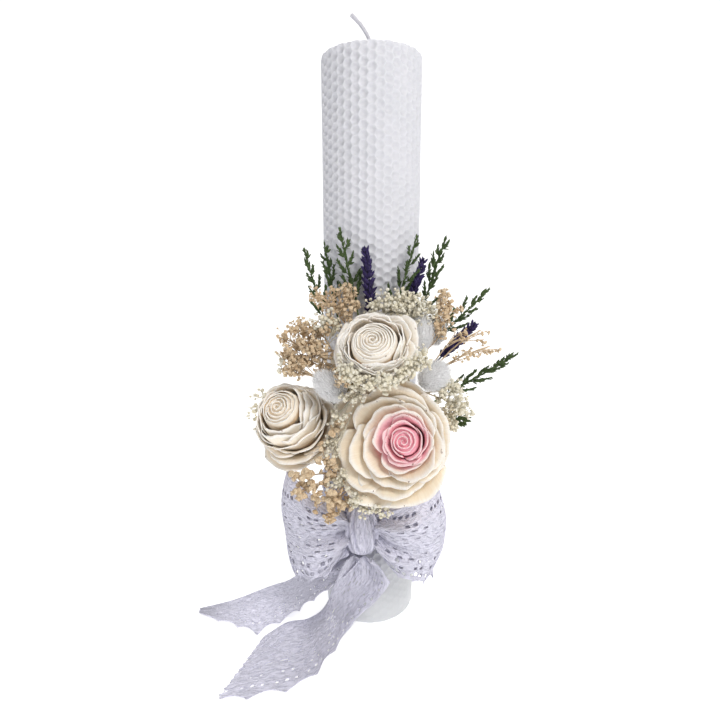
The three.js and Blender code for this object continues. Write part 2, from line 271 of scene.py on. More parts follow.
class Nodes:
    """Short calls to add and link shader nodes."""

    def __init__(self, tree):
        self.tree = tree

    def add(self, kind, inputs=None, **settings):
        """Adds a node. Inputs are named or numbered, and each is a number, colour or another node's socket."""
        node = self.tree.nodes.new(kind)
        for name, value in settings.items():
            setattr(node, name, value)
        for key, value in (inputs or {}).items():
            if isinstance(value, bpy.types.NodeSocket):
                self.tree.links.new(value, node.inputs[key])
            else:
                node.inputs[key].default_value = value
        return node

    def math(self, operation, *values, clamp=False):
        node = self.add("ShaderNodeMath", dict(enumerate(values)), operation=operation, use_clamp=clamp)
        return node.outputs[0]

    def span(self, value, low, high, to_low=0.0, to_high=1.0):
        """Maps a value from one range to another with a smooth step."""
        inputs = {0: value, 1: low, 2: high, 3: to_low, 4: to_high}
        return self.add("ShaderNodeMapRange", inputs, interpolation_type="SMOOTHSTEP").outputs[0]

    def mix(self, factor, first, second, blend="MIX"):
        node = self.add("ShaderNodeMix", data_type="RGBA", blend_type=blend)
        for index, value in ((0, factor), (6, first), (7, second)):
            if isinstance(value, bpy.types.NodeSocket):
                self.tree.links.new(value, node.inputs[index])
            else:
                node.inputs[index].default_value = value
        return node.outputs[2]

    def weighed(self, first, first_share, second, second_share, clamp=False):
        """Two values, each times its share, added."""
        parts = [self.math("MULTIPLY", first, first_share), self.math("MULTIPLY", second, second_share)]
        return self.math("ADD", *parts, clamp=clamp)

    def tint(self, base, colour, mask, share):
        """Pulls the base colour towards another by a share of a mask."""
        return self.mix(self.math("MULTIPLY", mask, share), base, colour)

    def value(self, name):
        """A number stored on the piece's points."""
        return self.add("ShaderNodeAttribute", attribute_name=name).outputs["Fac"]

    def noise(self, vector, scale, detail=3.0, roughness=0.55, distortion=0.0):
        inputs = {
            "Vector": vector, "Scale": scale, "Detail": detail, "Roughness": roughness, "Distortion": distortion,
        }
        return self.add("ShaderNodeTexNoise", inputs).outputs["Fac"]


def rgba(colour):
    """A colour with full alpha."""
    return (*colour[:3], 1.0)


def start_group(name, numbers, outputs):
    """A new node group with a Vector input, number inputs with their first values, and number outputs."""
    tree = bpy.data.node_groups.new(name, "ShaderNodeTree")
    tree.interface.new_socket(name="Vector", in_out="INPUT", socket_type="NodeSocketVector")
    for key, value in numbers.items():
        tree.interface.new_socket(name=key, in_out="INPUT", socket_type="NodeSocketFloat").default_value = value
    for key in outputs:
        tree.interface.new_socket(name=key, in_out="OUTPUT", socket_type="NodeSocketFloat")
    nodes = Nodes(tree)
    return tree, nodes, nodes.add("NodeGroupInput").outputs


def natural_variation():
    """Group: broad patches and a fine grain, both from 0 to 1, for anything dried, cast or woven."""
    name = "natural_variation"
    if name in bpy.data.node_groups:
        return bpy.data.node_groups[name]
    tree, nodes, given = start_group(name, {"Patch Scale": 40.0, "Grain Scale": 900.0}, ["Patches", "Grain"])
    patches = nodes.span(nodes.noise(given["Vector"], given["Patch Scale"], 2.0), 0.3, 0.7)
    grain = nodes.span(nodes.noise(given["Vector"], given["Grain Scale"], 2.0), 0.25, 0.75)
    nodes.add("NodeGroupOutput", {"Patches": patches, "Grain": grain})
    return tree


def crochet_stitches():
    """Group: close crochet work, from flat cloth coordinates in millimetres with the threads along X.

    Long, low lumps and fine threads run along X. Height is 1 on a lump and 0 in a gap, and Pits is 1 in the deepest
    gaps only.
    """
    name = "crochet_stitches"
    if name in bpy.data.node_groups:
        return bpy.data.node_groups[name]
    tree, nodes, given = start_group(name, {"Lump Length": 4.2, "Thread Width": 0.62}, ["Height", "Pits"])
    wander = nodes.add("ShaderNodeTexNoise", {"Vector": given["Vector"], "Scale": 0.16, "Detail": 2.0})
    pulled = nodes.add(
        "ShaderNodeVectorMath", {0: wander.outputs["Color"], 1: (3.0, 4.5, 0.0)}, operation="MULTIPLY"
    )
    shifted = nodes.add("ShaderNodeVectorMath", {0: given["Vector"], 1: pulled.outputs[0]}, operation="ADD")
    flat = nodes.add("ShaderNodeSeparateXYZ", {0: shifted.outputs[0]}).outputs
    stretched = nodes.add(
        "ShaderNodeCombineXYZ", {0: nodes.math("DIVIDE", flat["X"], given["Lump Length"]), 1: flat["Y"]}
    ).outputs[0]
    lumps = nodes.noise(stretched, 1.05, 2.0, 0.6)
    turns = nodes.math("MULTIPLY", nodes.math("DIVIDE", flat["Y"], given["Thread Width"]), 2 * math.pi)
    thread = nodes.math("MULTIPLY", nodes.math("ADD", nodes.math("SINE", turns), 1.0), 0.5)
    fuzz = nodes.noise(given["Vector"], 4.0, 3.0, 0.7)
    height = nodes.weighed(nodes.span(lumps, 0.36, 0.58), 0.75, thread, 0.14)
    height = nodes.math("ADD", height, nodes.math("MULTIPLY", fuzz, 0.3))
    nodes.add("NodeGroupOutput", {"Height": height, "Pits": nodes.span(lumps, 0.45, 0.35)})
    return tree


def start_material(name, **constants):
    """A new material with one Principled shader whose constants are set on its own sockets."""
    material = bpy.data.materials.new(name)
    material.use_nodes = True
    material.node_tree.nodes.clear()
    nodes = Nodes(material.node_tree)
    shader = nodes.add("ShaderNodeBsdfPrincipled", {key.replace("_", " "): v for key, v in constants.items()})
    nodes.add("ShaderNodeOutputMaterial", {"Surface": shader.outputs[0]})
    return material, nodes, shader


def finish_material(nodes, shader, colour, roughness=None, height=None, distance=0.0002, strength=0.5):
    """Feeds the shader its colour, roughness and bump."""
    nodes.tree.links.new(colour, shader.inputs["Base Color"])
    if roughness is not None:
        nodes.tree.links.new(roughness, shader.inputs["Roughness"])
    if height is not None:
        bump = nodes.add("ShaderNodeBump", {"Height": height, "Distance": distance, "Strength": strength})
        nodes.tree.links.new(bump.outputs[0], shader.inputs["Normal"])


def shared(maker, name, *finish):
    """The material of this name, made on its first use."""
    return bpy.data.materials.get(name) or maker(name, *finish)


def place_coordinates(nodes):
    """The point's own place on the piece."""
    return nodes.add("ShaderNodeTexCoord").outputs["Object"]


def varied(nodes, vector, patch_scale, grain_scale):
    """The natural variation group, placed with its own scales."""
    group = nodes.add("ShaderNodeGroup", node_tree=natural_variation())
    nodes.tree.links.new(vector, group.inputs["Vector"])
    group.inputs["Patch Scale"].default_value = patch_scale
    group.inputs["Grain Scale"].default_value = grain_scale
    return group.outputs["Patches"], group.outputs["Grain"]


def wax_material(name, colour):
    """White wax: satin, a little see-through, with a faint bloom and a greener, clearer foot."""
    material, nodes, shader = start_material(
        name, Subsurface_Weight=0.25, Subsurface_Radius=(0.004, 0.004, 0.0045), Subsurface_Scale=1.0,
        IOR=1.44, Specular_IOR_Level=0.35,
    )
    here = place_coordinates(nodes)
    patches, grain = varied(nodes, here, 60.0, 2500.0)
    upright = nodes.add("ShaderNodeSeparateXYZ", {0: here}).outputs["Z"]
    foot = nodes.span(upright, 0.075, 0.02)
    tinted = nodes.tint(rgba(colour), (0.63, 0.64, 0.68, 1), patches, 0.35)
    tinted = nodes.tint(tinted, (0.66, 0.68, 0.69, 1), foot, 0.6)
    rough = nodes.span(grain, 0.0, 1.0, 0.42, 0.6)
    finish_material(nodes, shader, tinted, rough, grain, 0.00006, 0.35)
    return material


def petal_material(name, ivory, heart):
    """Dried petals: warm foot, partly their own colour and partly painted shade, pale rim, fine veins, a pink heart or
    a paler flower where given, and rim specks.
    """
    material, nodes, shader = start_material(
        name, Roughness=0.62, Subsurface_Weight=0.12, Subsurface_Radius=(0.004, 0.0028, 0.002),
        Subsurface_Scale=1.0, Sheen_Weight=0.05, Specular_IOR_Level=0.3,
    )
    here = place_coordinates(nodes)
    patches, grain = varied(nodes, here, 140.0, 1500.0)
    tip, side, pink, tone, pale = (nodes.value(key) for key in ("tip", "side", "heart", "tone", "pale"))
    # Painted shade: the darker warm foot is partly the petal's own colour and partly shade of the deep parts.
    colour = nodes.mix(nodes.span(tip, 0.35, 0.92), (0.87, 0.60, 0.34, 1), rgba(ivory))
    warmth = nodes.weighed(patches, 0.25, tone, 0.3)
    colour = nodes.mix(warmth, colour, (0.92, 0.76, 0.56, 1))
    colour = nodes.tint(colour, (0.98, 0.945, 0.88, 1), pale, nodes.span(tip, 0.2, 0.7))
    colour = nodes.mix(nodes.span(tip, 0.88, 0.985, 0.0, 0.8), colour, (0.98, 0.955, 0.92, 1))
    blush = nodes.mix(nodes.span(tip, 0.35, 0.9), (1.0, 0.36, 0.45, 1), rgba(heart))
    blush = nodes.mix(nodes.span(tip, 0.9, 0.99, 0.0, 0.5), blush, (0.98, 0.86, 0.84, 1))
    colour = nodes.mix(pink, colour, blush)
    vein = nodes.add("ShaderNodeCombineXYZ", {0: nodes.math("MULTIPLY", side, 9.0), 1: tip, 2: tone})
    veins = nodes.noise(vein.outputs[0], 3.0, 3.0, 0.6)
    colour = nodes.mix(nodes.span(veins, 0.66, 0.35, 0.0, 0.14), colour, (0.70, 0.52, 0.34, 1), "MULTIPLY")
    specks = nodes.span(nodes.noise(here, 420.0, 1.0), 0.70, 0.75)
    specks = nodes.math("MULTIPLY", specks, nodes.span(tip, 0.9, 0.98))
    colour = nodes.tint(colour, (0.20, 0.09, 0.05, 1), specks, 0.8)
    height = nodes.weighed(veins, 0.8, grain, 0.25)
    finish_material(nodes, shader, colour, None, height, 0.0003, 0.35)
    return material


def dried_material(name, pale, deep, roughness=0.85, sheen=0.0, crack_shade=0.55):
    """Dried blossoms, stems and bracts: each its own tone, darker towards its foot, with painted shade in the cracks
    between its florets.
    """
    material, nodes, shader = start_material(name, Roughness=roughness, Sheen_Weight=sheen, Specular_IOR_Level=0.2)
    here = place_coordinates(nodes)
    patches, grain = varied(nodes, here, 90.0, 2600.0)
    tone, tip = nodes.value("tone"), nodes.value("tip")
    cells = nodes.add("ShaderNodeTexVoronoi", {"Vector": here, "Scale": 1250.0})
    crack = nodes.span(cells.outputs["Distance"], 0.25, 0.75)
    amount = nodes.weighed(tone, 0.75, patches, 0.25, clamp=True)
    colour = nodes.mix(amount, rgba(pale), rgba(deep))
    # A dark tone: painted shade in the cracks, and it also darkens the foot and a fine grain.
    shade = rgba([c * 0.5 for c in deep[:3]])
    colour = nodes.mix(nodes.span(tip, 0.5, 0.0, 0.0, 0.6), colour, shade)
    # Painted shade: the cracks between the florets are darkened.
    colour = nodes.tint(colour, shade, crack, crack_shade)
    colour = nodes.tint(colour, shade, grain, 0.2)
    height = nodes.math("SUBTRACT", grain, crack)
    finish_material(nodes, shader, colour, None, height, 0.0004, 0.5)
    return material


def hair_material(name, colour):
    """Bleached grass hair: white, soft and sheeny."""
    material, nodes, shader = start_material(
        name, Roughness=0.75, Sheen_Weight=0.7, Sheen_Roughness=0.4, Subsurface_Weight=0.5,
        Subsurface_Radius=(0.003, 0.003, 0.003), Subsurface_Scale=1.0, Specular_IOR_Level=0.2,
    )
    here = place_coordinates(nodes)
    patches, grain = varied(nodes, here, 120.0, 1800.0)
    tip = nodes.value("tip")
    tinted = nodes.mix(nodes.span(tip, 0.6, 0.0, 0.0, 0.15), rgba(colour), (0.86, 0.84, 0.81, 1))
    tinted = nodes.tint(tinted, (0.88, 0.87, 0.88, 1), patches, 0.15)
    finish_material(nodes, shader, tinted, None, grain, 0.0001, 0.3)
    return material


def lace_material(name, colour):
    """Crochet cotton: lumps, gaps and threads that follow the cloth, with a soft nap and painted shade in the deepest
    gaps.
    """
    material, nodes, shader = start_material(
        name, Roughness=0.9, Sheen_Weight=0.2, Sheen_Roughness=0.5, Specular_IOR_Level=0.15,
        Subsurface_Weight=0.1, Subsurface_Radius=(0.002, 0.002, 0.002), Subsurface_Scale=1.0,
    )
    flat = nodes.add("ShaderNodeUVMap", uv_map="flat_cloth").outputs[0]
    group = nodes.add("ShaderNodeGroup", node_tree=crochet_stitches())
    nodes.tree.links.new(flat, group.inputs["Vector"])
    height, pits = group.outputs
    patches, grain = varied(nodes, flat, 0.12, 5.0)
    tinted = nodes.tint(rgba(colour), rgba([c * 0.9 for c in colour[:3]]), patches, 0.3)
    tinted = nodes.tint(tinted, rgba([c * 0.75 for c in colour[:3]]), grain, 0.12)
    # Painted shade: the deepest gaps between the stitches are darkened.
    tinted = nodes.tint(tinted, (0.42, 0.42, 0.55, 1), pits, 0.62)
    finish_material(nodes, shader, tinted, None, height, 0.0009, 0.9)
    return material


def plain_fibre_material(name, pale, deep, scale):
    """Felt, foam, cotton or stem: a mottled fibre between two tones."""
    material, nodes, shader = start_material(name, Roughness=0.92, Specular_IOR_Level=0.15)
    here = place_coordinates(nodes)
    patches, grain = varied(nodes, here, scale * 0.12, scale)
    colour = nodes.tint(rgba(pale), rgba(deep), patches, 0.6)
    colour = nodes.tint(colour, rgba([c * 0.6 for c in deep[:3]]), grain, 0.4)
    finish_material(nodes, shader, colour, None, grain, 0.0004, 0.6)
    return material


# ---------------------------------------------------------------------------------------------------------------
# Settings


def colour_setting(name, value, description):
    return FloatVectorProperty(name=name, description=description, default=value, subtype="COLOR", size=3,
                               min=0.0, max=1.0)


def length_setting(name, value, description):
    return FloatProperty(name=name, description=description, default=value, subtype="DISTANCE", unit="LENGTH")


class PillarSettings(PropertyGroup):
    """Sizes and colours of the wax pillar."""

    cell_depth: length_setting("Cell depth", 1.25 * MM, "How deep a honeycomb cell is pressed into the sheet")
    sheet_thickness: length_setting("Sheet thickness", 2.3 * MM, "Thickness of one turn of the wax sheet")
    wax_colour: colour_setting("Wax", (0.68, 0.68, 0.725), "Colour of the wax")
    wick_colour: colour_setting("Wick", (0.80, 0.79, 0.85), "Colour of the cotton wick")


class FlowerSettings(PropertyGroup):
    """Sizes and colours of the flowers and sprigs."""

    petal_thickness: length_setting("Petal thickness", 0.55 * MM, "Thickness of a dried petal")
    ivory: colour_setting("Ivory", (0.96, 0.86, 0.70), "Colour of the pale petals")
    pink: colour_setting("Pink", (1.0, 0.56, 0.64), "Colour of the large rose's heart")
    tan: colour_setting("Tan", (0.98, 0.83, 0.61), "Colour of the tan gypsophila")
    cream: colour_setting("Cream", (0.97, 0.95, 0.86), "Colour of the cream gypsophila")
    green: colour_setting("Green", (0.15, 0.22, 0.085), "Colour of the limonium")
    violet: colour_setting("Violet", (0.075, 0.05, 0.20), "Colour of the lavender")
    fluff: colour_setting("Fluff", (0.98, 0.98, 0.99), "Colour of the bunny tails")


class LaceSettings(PropertyGroup):
    """Sizes and colour of the lace ribbon."""

    thickness: length_setting("Thread thickness", 0.6 * MM, "Thickness of the crocheted cotton")
    colour: colour_setting("Lace", (0.83, 0.82, 0.97), "Colour of the cotton")


class StageSettings(PropertyGroup):
    """Light and floor."""

    floor_colour: colour_setting("Floor", (0.92, 0.92, 0.92), "Colour of the floor")
    key_power: FloatProperty(name="Key light", description="Power of the large soft light", default=13.5, min=0.0)
    room_light: FloatProperty(name="Room light", description="Strength of the even light all round", default=0.40)


def settings(group):
    """One of the scene's groups of settings."""
    return getattr(bpy.context.scene, group)


# ---------------------------------------------------------------------------------------------------------------
# Wax pillar

SEAM_ANGLE = math.radians(100)
SEAM_OPENING = math.radians(0.45)
SEAM_STEP = 0.7 * MM
CELL_ROWS = 66
CELL_COLUMNS = 40
CELL_POINTS = 12
# Rings of a cell: share of its size, share of its depth, and how far its corners are rounded off.
CELL_RINGS = ((1.0, 0.0, 0.0), (0.84, 0.16, 0.35), (0.52, 0.88, 1.0))
SAME_POINT = 0.004 * MM
LEAST_AREA = 1e-4 * MM * MM
RIM_SAMPLES = 160
PRESSED_FROM, PRESSED_FULLY = 22 * MM, 80 * MM
PRESSED_AT_FOOT = 0.22
BORE_RADIUS = 1.75 * MM
ROLL_TURNS = 8.5
GROOVE_DEPTH = 1.5 * MM
WICK_RADIUS = 1.08 * MM
BRAID_STEP = 1.1 * MM


def honeycomb(length, height, depth):
    """Flat pressed sheet: (s, z, dip) of its points, and its faces.

    Hexagons stand in columns, every other column half a cell higher. Each is rings at shares of its size, from the
    shared rim (dip 0) down a sloping wall to a nearly flat floor (dip 1), and 12 points to a ring, rounder inwards.
    What passes the sheet's edges is pressed back on to them, and faces left without area are dropped.
    """
    pitch = height / CELL_ROWS
    reach = pitch / math.sqrt(3)
    columns, rows = np.meshgrid(np.arange(-1, CELL_COLUMNS + 2), np.arange(-1, CELL_ROWS + 1), indexing="ij")
    stretch = length / (CELL_COLUMNS * 1.5 * reach)
    centre_s = (columns * 1.5 * reach).ravel()
    centre_z = ((rows + 0.5 * (columns % 2)) * pitch).ravel()
    angle = closed_angles(CELL_POINTS)
    corner = np.where(np.arange(CELL_POINTS) % 2 == 0, 1.0, math.cos(np.pi / 6))
    template, dips = [], []
    for share, dip, rounding in CELL_RINGS:
        size = share * reach * (corner * (1 - rounding) + 0.94 * rounding)
        template.append(np.stack([size * np.cos(angle), size * np.sin(angle)], axis=1))
        dips.append(np.full(CELL_POINTS, dip))
    template = np.concatenate(template + [np.zeros((1, 2))])
    dips = np.concatenate(dips + [np.ones(1)])
    s = ((centre_s[:, None] + template[None, :, 0]) * stretch).ravel()
    z = (centre_z[:, None] + template[None, :, 1]).ravel()
    dip = np.tile(dips, len(centre_s))
    s, z = np.clip(s, 0, length), np.clip(z, 0, height)
    quads = grid_faces(len(CELL_RINGS), CELL_POINTS, wrap_columns=True)
    centre = CELL_POINTS * len(CELL_RINGS)
    fan = fan_faces(np.arange(centre - CELL_POINTS, centre), centre)
    triangles = np.concatenate([quads[:, [0, 1, 2]], quads[:, [0, 2, 3]], fan])
    triangles = triangles[None] + (np.arange(len(centre_s)) * len(template))[:, None, None]
    key = np.round(np.stack([s, z], axis=1) / SAME_POINT).astype(np.int64)
    _, first, merged = np.unique(key, axis=0, return_index=True, return_inverse=True)
    triangles = merged.ravel()[triangles.reshape(-1, 3)]
    flat = np.stack([s[first], z[first]], axis=1)
    a, b, c = (flat[triangles[:, i]] for i in range(3))
    area = (b[:, 0] - a[:, 0]) * (c[:, 1] - a[:, 1]) - (b[:, 1] - a[:, 1]) * (c[:, 0] - a[:, 0])
    triangles, area = kept(np.abs(area) > LEAST_AREA, triangles, area)
    triangles[area < 0] = triangles[area < 0][:, ::-1]
    used, triangles = np.unique(triangles, return_inverse=True)
    return flat[used, 0], flat[used, 1], depth * dip[first][used], triangles.reshape(-1, 3)


def zipped(first, first_at, second, second_at):
    """Triangles that join two chains of point numbers, each sorted by where it is."""
    middle = (first_at[1:] + first_at[:-1]) / 2
    apex = np.clip(np.searchsorted(second_at, middle) - 1, 0, len(second) - 1)
    one = np.stack([first[:-1], first[1:], second[apex]], axis=1)
    back = np.searchsorted(apex, np.arange(len(second) - 1), side="right")
    two = np.stack([second[:-1], first[np.clip(back, 0, len(first) - 1)], second[1:]], axis=1)
    return np.concatenate([one, two])


def wrap_sheet(s, z, drop, length):
    """Rolls flat sheet points round the pillar: the radius grows by one step over the turn."""
    share = s / length
    angle = SEAM_ANGLE + share * (2 * np.pi - SEAM_OPENING)
    sway = 0.10 * MM * np.sin(3 * angle + z * 31.0) + 0.07 * MM * np.sin(z * 77.0 + 2 * angle)
    radius = PILLAR_RADIUS - SEAM_STEP * (1 - share) + sway - drop
    return around_axis(radius, angle, z)


def build_outer_sheet():
    """Last turn of the sheet: a pressed honeycomb face, fading out near the foot, and a plain inner face."""
    options = settings("candle_pillar")
    length = 2 * np.pi * (PILLAR_RADIUS - SEAM_STEP / 2)
    s, z, dip, faces = honeycomb(length, PILLAR_HEIGHT, options.cell_depth)
    pressed = PRESSED_AT_FOOT + (1 - PRESSED_AT_FOOT) * smooth(PRESSED_FROM, PRESSED_FULLY, z)
    uneven = 1.0 + 0.18 * np.sin(s * 310 + z * 140) * np.sin(z * 260 - s * 90)
    foot_round = 1.3 * MM * (1 - smooth(0, 2.2 * MM, z)) ** 2
    top_round = 0.5 * MM * (1 - smooth(0, 1.0 * MM, PILLAR_HEIGHT - z)) ** 2
    face = wrap_sheet(s, z, dip * pressed * uneven + (foot_round + top_round), length)
    rim_s = np.linspace(0, length, RIM_SAMPLES)
    rims = [wrap_sheet(rim_s, np.full(RIM_SAMPLES, h), options.sheet_thickness, length) for h in (0, PILLAR_HEIGHT)]
    n = len(face)
    low, high = n + np.arange(RIM_SAMPLES), n + RIM_SAMPLES + np.arange(RIM_SAMPLES)
    foot, head = (np.flatnonzero(z == h) for h in (0.0, PILLAR_HEIGHT))
    foot, head = foot[np.argsort(s[foot])], head[np.argsort(s[head])]
    start, stop = (np.flatnonzero(s == at) for at in (0.0, length))
    start, stop = start[np.argsort(z[start])], stop[np.argsort(z[stop])]
    top = zipped(head, s[head], high, rim_s)
    bottom = zipped(foot, s[foot], low, rim_s)[:, ::-1]
    back = np.stack([low[:-1], high[:-1], high[1:], low[1:]], axis=1)
    ends = []
    for chain, inner, flip in ((start, (low[0], high[0]), False), (stop, (low[-1], high[-1]), True)):
        fan = np.stack([chain[:-1], chain[1:], np.full(len(chain) - 1, inner[0])], axis=1)
        last = np.array([[chain[-1], inner[1], inner[0]]])
        block = np.concatenate([fan, last])
        ends.append(block if flip else block[:, ::-1])
    shape = Shape()
    shape.add(np.concatenate([face] + rims), np.concatenate([faces, top, bottom] + ends), back)
    piece = shape.build("honeycomb_sheet", wax_material("embossed_wax", options.wax_colour))
    return place(piece, "embossed_wax", "outer_wax_sheet")


def build_inner_roll():
    """Inner turns, seen on the top and the foot: a spiral groove between one turn and the next, round the wick."""
    options = settings("candle_pillar")
    low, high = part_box("inner_wax_roll")
    radius = high.x
    rings, around = 100, 220
    r, angle = np.meshgrid(np.linspace(BORE_RADIUS, radius, rings), closed_angles(around), indexing="ij")
    phase = (r - BORE_RADIUS) / (radius - BORE_RADIUS) * ROLL_TURNS - angle / (2 * np.pi)
    gap = np.abs((phase % 1.0) - 0.5) * 2
    groove = GROOVE_DEPTH * smooth(0.82, 0.99, gap) + 0.25 * MM * np.sin(angle * 40 + phase * 9) * (1 - gap)
    groove = groove + 0.5 * MM * (np.sin(phase * 2.1 + 1.3 * np.sin(angle)) ** 2)
    edge_ease = smooth(radius, radius - 0.6 * MM, r)

    def face(height, sign):
        return around_axis(r, angle, height - sign * (groove * edge_ease + 0.05 * MM))

    shape = Shape()
    faces = grid_faces(rings, around, wrap_columns=True)
    shape.add(face(high.z, 1.0), faces)
    shape.add(face(low.z, -0.2), faces[:, ::-1])
    inner, outer = np.arange(around), (rings - 1) * around + np.arange(around)
    under = rings * around
    for ring, flip in ((outer, False), (inner, True)):
        nxt = np.roll(ring, -1)
        wall = np.stack([ring, ring + under, nxt + under, nxt], axis=1)
        shape.faces[4].append(wall[:, ::-1] if flip else wall)
    piece = shape.build("inner_wax_turns", wax_material("core_wax", options.wax_colour))
    return place(piece, "core_wax", "inner_wax_roll")


def build_wick():
    """Braided cotton: a round section along a bent line, its radius swelling where two waves round it cross."""
    options = settings("candle_pillar")
    low, high = WICK_BOX
    top = PILLAR_HEIGHT
    bend = [
        (0, 0, low.z), (0, 0, top / 2), (0, 0, top - 8 * MM), (0, 0, top + 2 * MM), (-1.4 * MM, 0, top + 10.5 * MM),
        (-5.2 * MM, 0, top + 17 * MM), (-8.6 * MM, 0, top + 20.8 * MM), (-12.0 * MM, 0, top + 24 * MM),
    ]
    steps, around = 620, 18
    line = spline(bend, steps)
    way = unit(np.gradient(line, axis=0))
    side = np.broadcast_to([0.0, 1.0, 0.0], way.shape)
    up = np.cross(way, side)
    run = np.linspace(0, 1, steps)[:, None] * (high.z - low.z)
    angle = closed_angles(around)[None]
    braid = np.abs(np.sin(1.5 * angle + run / BRAID_STEP)) + np.abs(np.sin(1.5 * angle - run / BRAID_STEP))
    radius = WICK_RADIUS * (0.88 + 0.10 * braid) * (1 + 0.15 * smooth(0.985, 1.0, run / run.max()))
    radius[0], radius[-1] = 0.25 * MM, 0.3 * MM
    points = line[:, None] + radius[..., None] * (
        np.cos(angle)[..., None] * side[:, None] + np.sin(angle)[..., None] * up[:, None]
    )
    shape = Shape()
    shape.add(points, grid_faces(steps, around, wrap_columns=True), tip=1.0, tone=0.2)
    ring = np.arange(around)
    shape.close(ring[::-1], line[0], flip=True, tip=1.0, tone=0.2)
    shape.close((steps - 1) * around + ring, line[-1], flip=True, tip=1.0, tone=0.2)
    pale = options.wick_colour
    piece = shape.build("braided_wick", plain_fibre_material("wick_cotton", pale, [c * 0.85 for c in pale], 2600.0))
    return place(outward(piece), "wick_cotton", "wick")


def outward(piece):
    """Turns the faces of a closed mesh to point out."""
    work = bmesh.new()
    work.from_mesh(piece.data)
    bmesh.ops.recalc_face_normals(work, faces=work.faces)
    work.to_mesh(piece.data)
    work.free()
    return piece


# ---------------------------------------------------------------------------------------------------------------
# Roses

# Each rose: where its calyx is, which way it faces, how far its heart stands off its axis, how wide its pink heart is,
# and its whorls from the outside in. A whorl: how many petals, the radius and height of their rims above the calyx, the
# lean of the rims out from the axis in degrees, how wide the petals belly low down, how far the whorl follows the
# heart's shift, how ruffled it is, and the piece that it belongs to. "pale" is how white the flower is. "solid" is the
# radius and the height of the bowl that blossoms keep out of. "spiral" is the rolled heart's radius, turns and height.
ROSES = {
    "rose_large": {
        "base": (17.0, -50.0, 133.6), "facing": (-0.28, -0.91, 0.30), "seed": 11, "spin": 2.2, "pale": 0.0,
        "shift": (8.0, 0.0, 0.5), "heart": 14.0, "solid": (31.0, 17.0),
        "whorls": [
            (5, 35.4, 14.2, 78, 16, -0.40, 1.2, "outer_petals"),
            (5, 30.6, 18.0, 70, 15, -0.30, 1.2, "outer_petals"),
            (5, 25.8, 21.2, 60, 14, 0.10, 1.1, "middle_petals"),
            (4, 20.8, 24.0, 50, 12.5, 0.50, 1.0, "middle_petals"),
            (4, 16.0, 26.0, 38, 11, 0.85, 0.8, "inner_petals"),
            (4, 12.4, 26.8, 24, 10, 1.00, 0.6, "inner_petals"),
            (3, 9.6, 27.2, 6, 9.4, 1.00, 0.5, "bud"),
        ],
        "spiral": (8.2, 3.4, 27.8),
    },
    "rose_top": {
        "base": (4.4, -48.5, 181.0), "facing": (-0.08, -0.78, 0.62), "seed": 23, "spin": 0.4, "pale": 0.75,
        "shift": (-1.0, 0.0, -3.5), "heart": 0.0, "solid": (21.0, 17.0),
        "whorls": [
            (4, 23.0, 14.0, 64, 14, 0.00, 1.1, "outer_petals"),
            (5, 20.2, 17.6, 46, 15, 0.10, 1.0, "outer_petals"),
            (5, 18.4, 20.6, 24, 16, 0.25, 0.9, "outer_petals"),
            (5, 16.6, 23.2, 4, 16, 0.45, 0.9, "inner_petals"),
            (5, 14.8, 25.2, -8, 15.5, 0.60, 0.8, "inner_petals"),
            (5, 12.9, 26.8, -14, 14, 0.75, 0.7, "inner_petals"),
        ],
        "spiral": (12.6, 7.2, 29.6),
    },
    "rose_left": {
        "base": (-37.0, -35.0, 131.5), "facing": (-0.30, -0.69, 0.62), "seed": 37, "spin": 1.0, "pale": 0.45,
        "shift": (-6.0, 0.0, 5.5), "heart": 0.0, "solid": (22.0, 17.0),
        "whorls": [
            (4, 25.0, 11.5, 72, 14, 0.00, 1.4, "outer_petals"),
            (4, 23.4, 15.5, 56, 15, 0.15, 1.4, "outer_petals"),
            (5, 20.6, 19.0, 38, 16, 0.35, 1.2, "outer_petals"),
            (4, 18.7, 22.2, 14, 17, 0.55, 1.2, "inner_petals"),
            (4, 16.5, 24.6, -6, 17, 0.70, 1.1, "inner_petals"),
            (4, 14.1, 26.4, -22, 16, 0.80, 1.0, "inner_petals"),
            (3, 12.4, 27.2, -26, 14.5, 0.90, 0.9, "inner_petals"),
        ],
        "spiral": (12.0, 5.4, 29.0),
    },
}
PETAL_ACROSS, PETAL_UP = 27, 21
PETAL_OVERLAP = 1.42
CURVE_PULL = 0.42
RIM_ROLL_OUT, RIM_ROLL_DOWN = 1.1, 0.9
DOME = 0.018


def cubic(corners, v):
    """Points at v on a cubic curve pulled by four corners, each an array of values."""
    a, b, c, d = corners
    w = 1 - v
    return w**3 * a + 3 * w * w * v * b + 3 * w * v * v * c + v**3 * d


